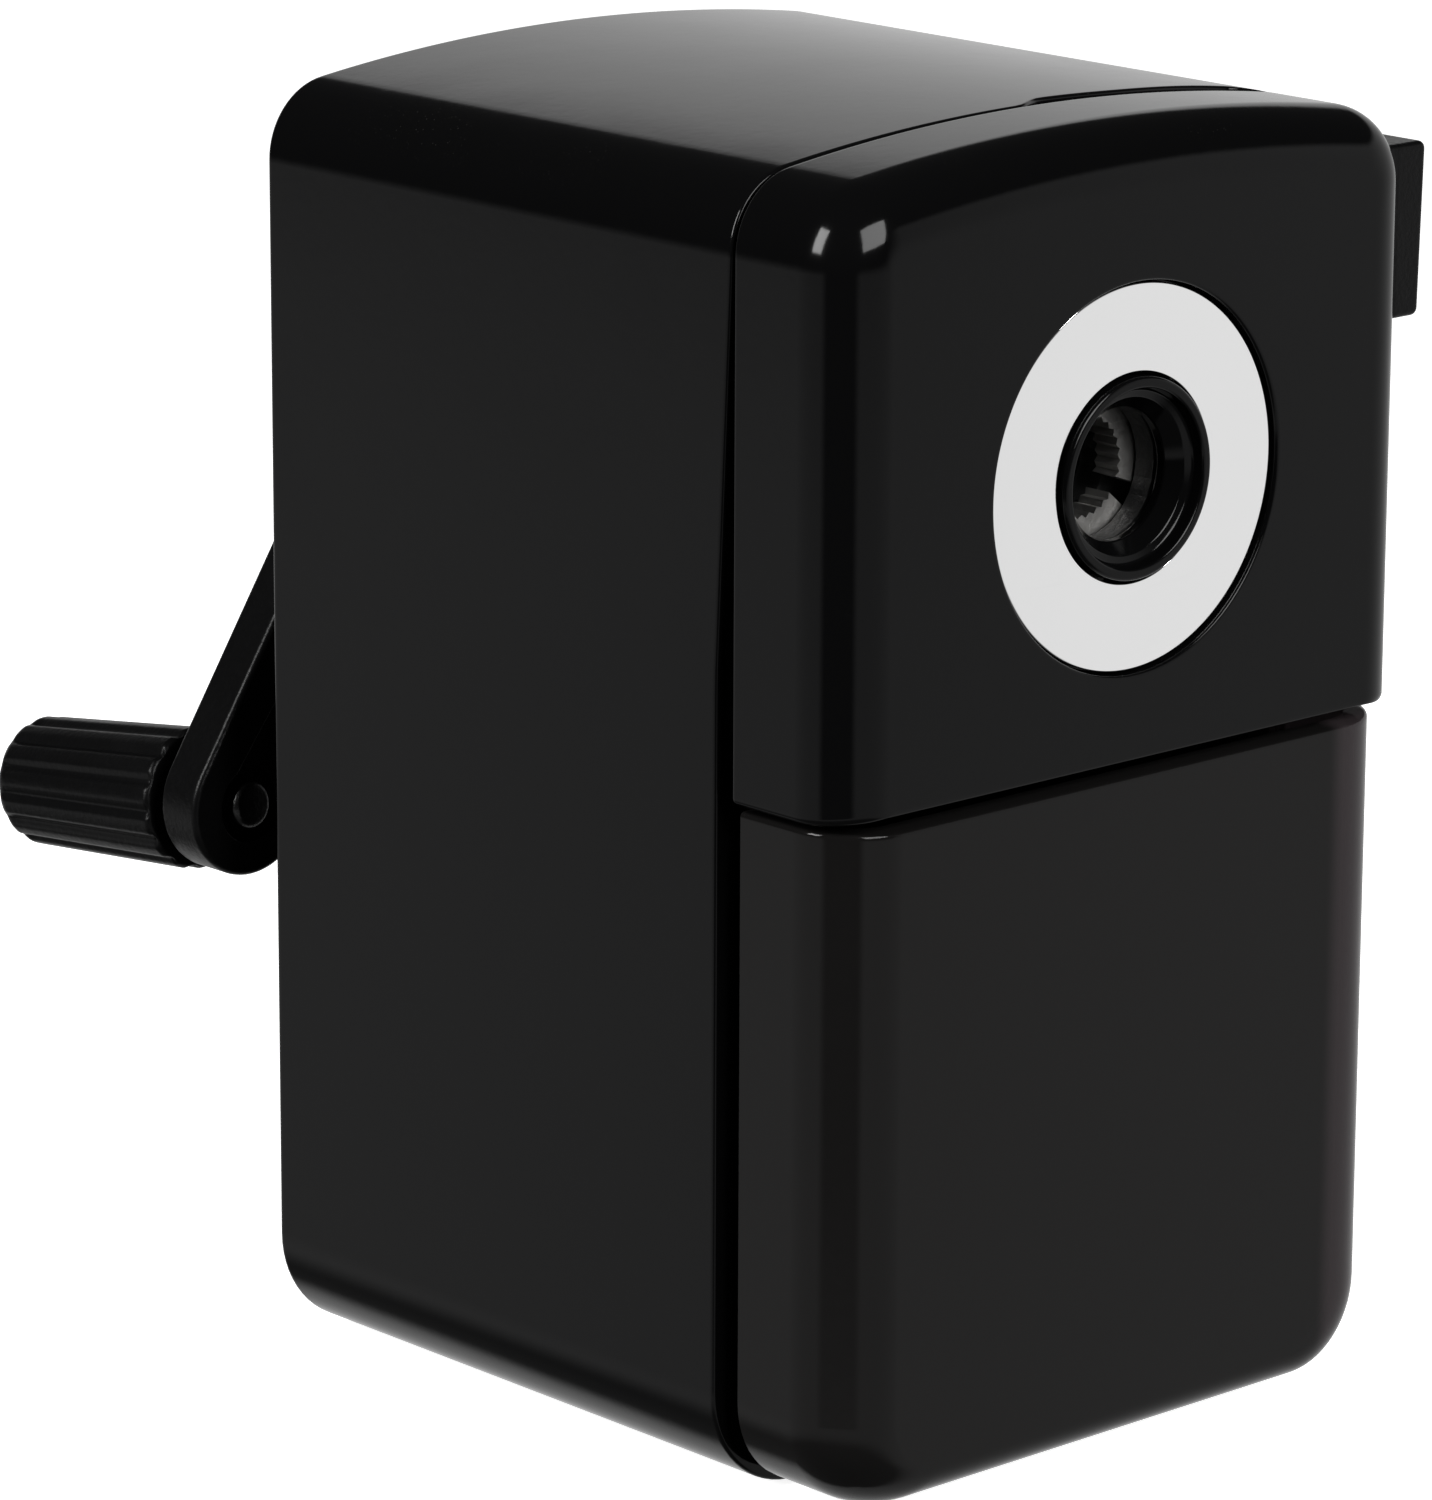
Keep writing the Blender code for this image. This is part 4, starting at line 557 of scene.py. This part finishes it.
def caseSection(inset, low, lowRadius):
    # the crowned section drawn in by inset: low corners, straight sides, top corners and a shallow crown
    side = halfWide - inset
    crownRadius = (halfWide ** 2 + case["crown"] ** 2) / (2 * case["crown"])
    crownZ = tall - crownRadius
    cornerX = halfWide - case["topRadius"]
    cornerZ = crownZ + math.sqrt((crownRadius - case["topRadius"]) ** 2 - cornerX ** 2)
    corner = max(case["topRadius"] - inset, 0.3)
    tip = math.atan2(cornerZ - crownZ, cornerX)
    right = [arcPoints((side - lowRadius, low + lowRadius), lowRadius, -quarterTurn, 0, 16)]
    right.append(spread((side, low + lowRadius), (side, cornerZ), 44))
    right.append(arcPoints((side - corner, cornerZ), corner, 0, tip, 16))
    right = np.vstack(right)
    crown = arcPoints((0, crownZ), crownRadius - inset, tip, math.pi - tip, 70)[1:-1]
    left = right[::-1] * (-1, 1)
    bottom = spread((-side + lowRadius, low), (side - lowRadius, low), 24)
    return np.vstack([right, crown, left, bottom])


def atY(outline, y):
    return np.stack([outline[:, 0], np.broadcast_to(y, len(outline)), outline[:, 1]], axis=1)


def smoothStep(value, low, high):
    t = np.clip((value - low) / (high - low), 0, 1)
    return t * t * (3 - 2 * t)


def lipLine(outline):
    # the shell's front edge: level on top, sloping back down the sides, with a finger slot in the crown
    x, z = outline[:, 0], outline[:, 1]
    share = np.clip((case["recessHigh"] - z) / (case["recessHigh"] - case["recessLow"]), 0, 1)
    recess = (case["recess"] - 0.3) * share
    slot = smoothStep(x, case["slotFrom"], case["slotFrom"] + 4.0)
    slot *= smoothStep(-x, -case["slotTo"], -case["slotTo"] + 2.5)
    slot *= case["slotDepth"] * (1 + case["slotSpread"] * smoothStep(x, 8.0, 22.0))
    return lipY + recess + slot * (z > tall - 6)


def buildBodyShell():
    # a cup carried from the rear face, round its edge, forward to the lip and back along the inner wall
    edge, wall, lowRadius, gap = case["rearEdge"], case["wall"], case["lowRadius"], case["gap"]
    rows = [atY(caseSection(edge + gap, edge + gap, lowRadius - edge - gap), rearY)]
    for ahead, inset in quarterRound(edge, 7):
        rows.append(atY(caseSection(inset, inset, lowRadius - inset), rearY - ahead))
    outer = caseSection(0, 0, lowRadius)
    rows += [atY(outer, rearY - edge - gap), atY(outer, case["midDepth"])]
    lip = case["lipEdge"]
    for depth, inset in [(lip + rowGuard, 0)] + [(b, a) for a, b in quarterRound(lip, 5)]:
        section = caseSection(inset, inset, lowRadius - inset)
        rows.append(atY(section, lipLine(section) + depth))
    for depth, inset in [(a, wall - b) for a, b in quarterRound(lip, 5)] + [(lip + rowGuard, wall)]:
        section = caseSection(inset, inset + gap, lowRadius - inset)
        rows.append(atY(section, lipLine(section) + depth))
    inner = caseSection(wall, wall + gap, lowRadius - wall)
    rows += [atY(inner, case["midDepth"]), atY(inner, rearY - case["rearWall"])]
    return surface("bodyShell", rows)


install(buildBodyShell(), "case", finish["blackGloss"], "black_gloss", "body_shell")
print("case built")

head = {"bottom": 53.0, "wall": 2.0, "round": 4.5, "edge": 0.6, "ringRadius": 14.2, "ringGap": 0.22,
        "pocket": 1.4, "pocketEdge": 0.18, "bossRadius": 17.0, "bossWall": 3.2, "bezelRadius": 7.45,
        "fit": 0.3, "innerRound": 2.5, "rearEdge": 0.2}
lever = {"out": 5.6, "low": 6.8, "high": 20.0, "depth": 5.2, "draft": 0.4, "corner": 0.6, "edge": 0.42,
         "shoulder": 0.8, "step": 31.3, "armFrom": -6.0, "armLow": 10.3, "armHigh": 15.3, "armThick": 2.33,
         "slotFrom": 0.6, "slotTo": 3.0, "slotLow": 11.4, "slotHigh": 14.2}
leverLow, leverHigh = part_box("release_lever")
leverMid = (leverLow[2] + leverHigh[2]) / 2 / mm
leverTall = (leverHigh[2] - leverLow[2]) / mm
leverFront = frontY + head["round"] + 0.1
# the clamp jaws' rear faces lie 2.8 mm in front of the chuck plate's rear face
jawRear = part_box("chuck_plate")[1][1] / mm - 2.8


def buildHeadCover():
    # one skin: bore, ring pocket, flat face, rounded front edge, sides, rear lip, then back inside
    low, wall = head["bottom"], head["wall"]
    full = caseSection(head["round"], low + head["edge"], head["edge"])
    angle = np.arctan2(full[:, 0], full[:, 1] - axisUp)

    def circle(radius, y):
        ring = turnedRows(np.array([[radius, y]]), angle)[0]
        return ring + (0, 0, axisUp)

    bore, pocket = head["bezelRadius"] + head["fit"], head["ringRadius"] + head["ringGap"]
    edge = head["pocketEdge"]
    floorY, bossY = frontY + head["pocket"], frontY + head["bossWall"]
    rows = [circle(bore, bossY), circle(bore, floorY + 0.1), circle(bore + 0.1, floorY),
            circle(pocket - 0.15, floorY), circle(pocket, floorY - 0.12), circle(pocket, frontY + edge + 0.1)]
    rows += [circle(pocket + ahead, frontY + inset) for ahead, inset in quarterRound(edge, 5)]
    rim, flat = circle(pocket + edge + rowGuard, frontY), atY(full, frontY)
    rows += [rim + (flat - rim) * share for share in (0.0, 0.35, 0.7, 0.97)]
    for ahead, inset in quarterRound(head["round"], 19):
        lift = head["edge"] * inset / head["round"]
        rows.append(atY(caseSection(inset, low + lift, head["edge"]), frontY + ahead))
    side = caseSection(0, low, head["edge"])
    rows += [atY(side, frontY + head["round"] + rowGuard), atY(side, headRearY - head["rearEdge"] - rowGuard)]
    for inset, short in quarterRound(head["rearEdge"], 4):
        rows.append(atY(caseSection(inset, low + inset, head["edge"]), headRearY - short))
    inner = caseSection(wall, low + wall, 0.3)
    innerY = frontY + wall
    rows += [atY(inner, headRearY), atY(inner, innerY + head["innerRound"])]
    for inset, ahead in quarterRound(head["innerRound"], 6)[1:]:
        rows.append(atY(caseSection(wall + inset, low + wall, 0.3), innerY + ahead))
    rows += [circle(head["bossRadius"], innerY), circle(head["bossRadius"], bossY)]
    cover = surface("headCover", rows, wrapRows=True)
    half = leverTall / 2 + head["fit"]
    outline = roundPath([(-4.0, -half), (4.0, -half), (4.0, half), (-4.0, half)], [0.6] * 4, 4, True)
    depth = lever["depth"] / 2 + head["fit"]
    place = shift(halfWide, leverFront + lever["depth"] / 2, leverMid)
    return carve(cover, [swept("leverWindow", outline, [(-depth, 0), (depth, 0)], place)])


install(buildHeadCover(), "feed_head", finish["blackGloss"], "black_gloss", "head_cover")

ring = {"sunk": 0.5, "thick": 0.6}
ringFront, ringBore = frontY + ring["sunk"], head["bezelRadius"] + head["fit"]
ringRear = ringFront + ring["thick"]
ringProfile = [(head["ringRadius"], ringFront), (head["ringRadius"], ringRear), (ringBore, ringRear),
               (ringBore, ringFront)]
trimRing = lathe("trimRing", ringProfile, [0.16, 0.1, 0.05, 0.08], 256, shift(0, 0, axisUp))
install(trimRing, "feed_head", finish["mirrorSteel"], "mirror_steel", "trim_ring")

bezel = {"proud": 0.1, "entry": 4.9, "throat": 0.9, "grooveFrom": 0.9, "grooveDepth": 1.15,
         "lipFrom": 1.5, "lipDepth": 0.95, "lipTop": 1.75}


def buildBezel():
    # the lip in front, a groove behind it, the funnel and the straight throat
    front, rear = frontY - bezel["proud"], frontY + head["bossWall"] - 0.1
    outer, entry = head["bezelRadius"], bezel["entry"]
    profile = [(outer, front), (outer, rear), (entry, rear), (entry, rear - bezel["throat"]),
               (entry + bezel["grooveFrom"], front + bezel["grooveDepth"]),
               (entry + bezel["lipFrom"], front + bezel["lipDepth"]), (entry + bezel["lipTop"], front)]
    radii = [0.28, 0.1, 0.25, 0.35, 0.25, 0.3, 0.22]
    return lathe("entryBezel", profile, radii, 192, shift(0, 0, axisUp))


install(buildBezel(), "feed_head", finish["blackGloss"], "black_gloss", "entry_bezel")


def roundedBox(left, low, right, high, radii, steps=6):
    return roundPath([(left, low), (right, low), (right, high), (left, high)], radii, steps, True)


def buildLever():
    # a block whose outer end leans out towards the top, and the arm behind it that turns the cam
    out, low, high = halfWide + lever["out"], lever["low"], lever["high"]
    inner, step, edge = halfWide - lever["shoulder"], lever["step"], lever["edge"]
    place, corners = shift(0, 0, axisUp), [lever["corner"]] * 4
    outline = [(step, low), (out - lever["draft"], low), (out, high), (step, high)]
    outline = roundPath(outline, corners, 6, True)
    stations = edgeStations(leverFront, leverFront + lever["depth"], edge, edge)
    block = swept("releaseLever", outline, stations, place)
    # the shoulder that goes into the head is thinner, so that it passes in front of the chuck plate
    stations = edgeStations(leverFront + 0.02, jawRear, edge, 0.2)
    shoulder = swept("leverShoulder", roundedBox(inner, low, step + 1, high, corners), stations, place)
    stations = edgeStations(jawRear - lever["armThick"], jawRear - 0.02, 0.2, 0.2, 3)
    left, low, high = lever["armFrom"], lever["armLow"], lever["armHigh"]
    arm = swept("leverArm", roundedBox(left, low, inner + 1, high, [1.2, 0.4, 0.4, 1.2], 5), stations, place)
    left, right, low, high = lever["slotFrom"], lever["slotTo"], lever["slotLow"], lever["slotHigh"]
    stations = [(jawRear - 4, 0), (jawRear + 2, 0)]
    slotHole = swept("leverSlot", roundedBox(left, low, right, high, [0.4] * 4, 4), stations, place)
    carve(block, [shoulder, arm], "UNION")
    return soften(carve(block, [slotHole]), 0.08)


install(buildLever(), "lever", finish["blackSatin"], "black_satin", "release_lever")
print("feed head built")

crank = {"angle": 37.2, "length": 42.3, "thick": 4.3, "gap": 7.2,
         "hubRadius": 9.1, "endRadius": 5.65, "edge": 0.45,
         "frontBoss": 5.1, "frontBossRadius": 5.8, "rearBoss": 2.2, "rearBossRadius": 6.7, "rearBossTop": 6.1,
         "floor": 3.9, "recessRadius": 4.0, "splay": 7.2, "channelHalf": 2.6, "channelDepth": 0.8,
         "channelStart": 11.5, "seatRadius": 3.0, "seatDepth": 1.5, "softEdge": 0.14}
crankY = rearY + crank["gap"]
crankPlace = shift(0, 0, axisUp) @ turnAbout("y", math.radians(crank["angle"]))
knobPlace = crankPlace @ shift(0, crankY, -crank["length"]) @ turnAbout("x", -math.radians(crank["splay"]))


def armOutline():
    # two round ends and the two tangents between them
    big, small, length = crank["hubRadius"], crank["endRadius"], crank["length"]
    lean = math.asin((big - small) / length)
    top = arcPoints((0, 0), big, -lean, math.pi + lean, 48)
    low = arcPoints((0, -length), small, math.pi + lean, 2 * math.pi - lean, 48)
    return np.vstack([top, spread(top[-1], low[0], 8), low, spread(low[-1], top[0], 8)])


def buildCrankArm():
    # the plate with rounded edges and two hub bosses, less the channel, rivet seat and screw recess
    length, backY = crank["length"], crankY + crank["thick"]
    stations = edgeStations(crankY, backY, crank["edge"], crank["edge"])
    arm = swept("crankArm", armOutline(), stations, crankPlace)
    low, root = crankY - crank["frontBoss"], crankY + 0.6
    radius = crank["frontBossRadius"]
    profile = [(0.5, low), (radius, low), (radius, root), (0.5, root)]
    frontBoss = lathe("frontBoss", profile, [0, 0.3, 0, 0], 96, crankPlace, False)
    high, root = backY + crank["rearBoss"], backY - 0.5
    profile = [(0.5, root), (crank["rearBossRadius"], root), (crank["rearBossTop"], high), (0.5, high)]
    rearBoss = lathe("rearBoss", profile, [0, 0, 0.5, 0], 96, crankPlace, False)
    carve(arm, [frontBoss, rearBoss], "UNION")
    half, floorY = crank["channelHalf"], crankY + crank["channelDepth"]
    outline = roundedBox(-half, -length, half, -crank["channelStart"], [0.1, 0.1, 1.6, 1.6], 8)
    stations = [(crankY - 1, -0.3), (crankY, -0.15), (floorY - 0.2, 0.0), (floorY - 0.05, 0.06)]
    stations.append((floorY, 0.2))
    channel = swept("channel", outline, stations, crankPlace)
    seatY, radius = crankY + crank["seatDepth"], crank["seatRadius"]
    profile = [(0.4, crankY - 1), (radius + 0.05, crankY - 1), (radius - 0.05, seatY), (0.4, seatY)]
    seat = lathe("seat", profile, [0, 0, 0.3, 0], 72, crankPlace @ shift(0, 0, -length), False)
    floorY, radius = crankY + crank["floor"], crank["recessRadius"]
    profile = [(0.4, floorY), (radius, floorY), (radius + 0.1, floorY + 5), (0.4, floorY + 5)]
    recess = lathe("recess", profile, [0, 0.2, 0, 0], 72, crankPlace, False)
    return soften(carve(arm, [channel, seat, recess]), crank["softEdge"])


install(buildCrankArm(), "rotor", finish["blackSatin"], "black_satin", "crank_arm")

knob = {"near": 6.0, "far": 24.7, "radius": 5.6, "endRadius": 5.1, "flutes": 14, "fluteDepth": 0.36,
        "neck": 3.7, "neckLength": 0.8}


def buildKnob():
    # a turned grip whose radius dips along evenly spaced flutes that fade out at both ends
    near, far, neck = knob["near"], knob["far"], knob["neck"]
    neckY = near - knob["neckLength"]
    corners = [(0.3, neckY), (neck, neckY), (neck, near), (knob["radius"], near), (knob["endRadius"], far),
               (0.3, far)]
    profile = roundPath(corners, [0, 0.2, 0.1, 0.5, 1.3, 0], 10)
    body = [profile[0]]
    for a, b in zip(profile[:-1], profile[1:]):
        cuts = max(1, int(np.linalg.norm(b - a) / 0.9))
        body.extend(a + (b - a) * share for share in np.linspace(0, 1, cuts + 1)[1:])
    body = np.array(body)
    along = body[:, 1]
    angle = np.linspace(0, 2 * math.pi, knob["flutes"] * 24 + 1)[:-1]
    wave = np.abs(np.cos(angle * knob["flutes"] / 2)) ** 5.0
    depth = knob["fluteDepth"] * smoothStep(along, near - 0.05, near + 0.3)
    depth = depth * smoothStep(-along, -far + 0.05, -far + 1.5) * (body[:, 0] > neck + 0.3)
    rows = turnedRows(body, angle)
    rows[..., 0] -= depth[:, None] * wave * np.sin(angle)
    rows[..., 2] -= depth[:, None] * wave * np.cos(angle)
    return surface("crankKnob", moved(rows, knobPlace), sharpAt=50)


install(buildKnob(), "knob", finish["blackSatin"], "black_satin", "crank_knob")
rivet = {"dome": -0.35, "edge": -0.2, "under": 0.95, "headRadius": 1.9, "radius": 1.3, "tip": 22.0}
rivetProfile = [(0.05, rivet["dome"]), (rivet["headRadius"], rivet["edge"]),
                (rivet["headRadius"], rivet["under"]), (rivet["radius"], rivet["under"]),
                (rivet["radius"], rivet["tip"]), (0.25, rivet["tip"])]
handleRivet = lathe("handleRivet", rivetProfile, [0, 1.1, 0.1, 0, 0, 0], 64, knobPlace, False)
install(handleRivet, "rotor", finish["darkSteel"], "steel", "handle_pin")
print("crank built")

drawer = {"inset": 0.85, "bottom": 0.6, "top": 52.4, "lowRadius": 7.5, "round": 5.3, "wall": 1.8,
          "front": 0.2, "frontLift": 3.0, "frontDrop": 0.4, "trayInset": 2.6, "trayLow": 2.6,
          "trayTop": 50.0, "trayRear": 20.7, "trayRadius": 6.4, "trayEdge": 0.3}


def traySection(side, low, high, lowRadius, highRadius=0.35):
    # a rectangle with large low corners and small top corners
    right = np.vstack([arcPoints((side - lowRadius, low + lowRadius), lowRadius, -quarterTurn, 0, 14),
                       spread((side, low + lowRadius), (side, high - highRadius), 16),
                       arcPoints((side - highRadius, high - highRadius), highRadius, 0, quarterTurn, 5)])
    top = spread((side - highRadius, high), (-side + highRadius, high), 20)
    bottom = spread((-side + lowRadius, low), (side - lowRadius, low), 20)
    return np.vstack([right, top, right[::-1] * (-1, 1), bottom])


def roundedBlock(name, front, rounding, rear, side, low, lift, high, drop, radius, radiusDrop):
    # the section grows to full size over a quarter circle, then runs straight back;
    # lift, drop and radiusDrop are how much its bottom, top and low corners draw in at the front face
    face = traySection(side - rounding - 0.2, low + lift + 0.2, high - drop - 0.2, radius - radiusDrop)
    rows = [atY(face, front)]
    for ahead, inset in quarterRound(rounding, 17):
        share = inset / rounding
        bottom, top = low + lift * share, high - drop * share
        rows.append(atY(traySection(side - inset, bottom, top, radius - radiusDrop * share), front + ahead))
    full = traySection(side, low, high, radius)
    rows += [atY(full, front + rounding + rowGuard), atY(full, rear - 0.2), atY(full, rear)]
    return surface(name, rows)


def buildDrawer():
    # a rounded front block joined to a plain tray behind it, hollowed from above
    front, wall, bottom, top = frontY + drawer["front"], drawer["wall"], drawer["bottom"], drawer["top"]
    side, rounding, lowRadius = halfWide - drawer["inset"], drawer["round"], drawer["lowRadius"]
    block = roundedBlock("shavingsDrawer", front, rounding, headRearY, side, bottom, drawer["frontLift"],
                         top, drawer["frontDrop"], lowRadius, 3.0)
    half, rear = halfWide - drawer["trayInset"], drawer["trayRear"]
    low, high, radius, edge = drawer["trayLow"], drawer["trayTop"], drawer["trayRadius"], drawer["trayEdge"]
    tray = traySection(half, low, high, radius)
    trayEnd = traySection(half - edge, low + edge, high - edge, radius - edge)
    trayBody = surface("trayBody", [atY(tray, headRearY - 1.0), atY(tray, rear - 0.4), atY(trayEnd, rear)])
    carve(block, [trayBody], "UNION")
    over, back = top + 2, headRearY - wall
    frontRoom = roundedBlock("frontRoom", front + wall, rounding - wall, back, side - wall,
                             bottom + wall, 1.2, over, 0.0, lowRadius - wall, 0.3)
    room = traySection(half - wall, low + wall, over, radius - wall)
    trayRoom = surface("trayRoom", [atY(room, back - 1.0), atY(room, rear - wall)])
    return carve(block, [frontRoom, trayRoom])


install(buildDrawer(), "drawer", finish["smokePlastic"], "smoke_plastic", "shavings_drawer")
print("drawer built")

springs = {"wire": 0.3, "turns": 8, "radius": 2.75, "headTravel": 22.0,
           "leverWire": 0.2, "leverTurns": 5, "leverRadius": 1.0, "leverTravel": 3.6}


def buildCoil(name, start, end, radius, turns, wire):
    # a wire carried along a helix whose last half turn at each end lies flat
    start, end = np.array(start, float), np.array(end, float)
    length = np.linalg.norm(end - start)
    along = (end - start) / length
    side = np.cross(along, (0, 0, 1))
    over = np.cross(side, along)
    turn = np.linspace(0, turns, turns * 28 + 1)
    rise = np.clip((turn - 0.5) / (turns - 1), 0, 1) * (length - 2 * wire) + wire
    phase = turn * 2 * math.pi
    outward = np.cos(phase)[:, None] * side + np.sin(phase)[:, None] * over
    centre = start + outward * radius + rise[:, None] * along
    around = np.linspace(0, 2 * math.pi, 11)[:-1, None]
    rows = centre[:, None] + wire * (np.cos(around) * outward[:, None] + np.sin(around) * along)
    return surface(name, rows)


def installReturnSpring(side):
    # the coil is built on the case at one length, from the anchor end of the spring's box to its free end; the
    # real coil shortens towards the frame plate as the head comes out
    low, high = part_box("return_spring_" + side)
    middle = (low[0] + high[0]) / 2 / mm
    anchor, free = low[1] / mm, high[1] / mm
    coil = buildCoil(side + "ReturnSpring", (middle, anchor, axisUp), (middle, free, axisUp),
                     springs["radius"], springs["turns"], springs["wire"])
    install(coil, "case", finish["turnedSteel"], "steel", "return_spring_" + side)
    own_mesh(coil)


def installLeverSpring():
    # the coil is built in the head at one length across the spring's box; the real coil shortens towards its stop
    # as the lever goes in
    low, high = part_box("lever_spring")
    middle = [(a + b) / 2 / mm for a, b in zip(low, high)]
    coil = buildCoil("leverSpring", (low[0] / mm, middle[1], middle[2]), (high[0] / mm, middle[1], middle[2]),
                     springs["leverRadius"], springs["leverTurns"], springs["leverWire"])
    install(coil, "feed_head", finish["turnedSteel"], "steel", "lever_spring")
    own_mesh(coil)


installReturnSpring("left")
installReturnSpring("right")
installLeverSpring()
for number in (1, 2, 3):
    jaw = frame["nodes"]["clamp_jaw_%d" % number]
    jaw.data.materials.clear()
    jaw.data.materials.append(finish["jawSteel"])
print("springs built")
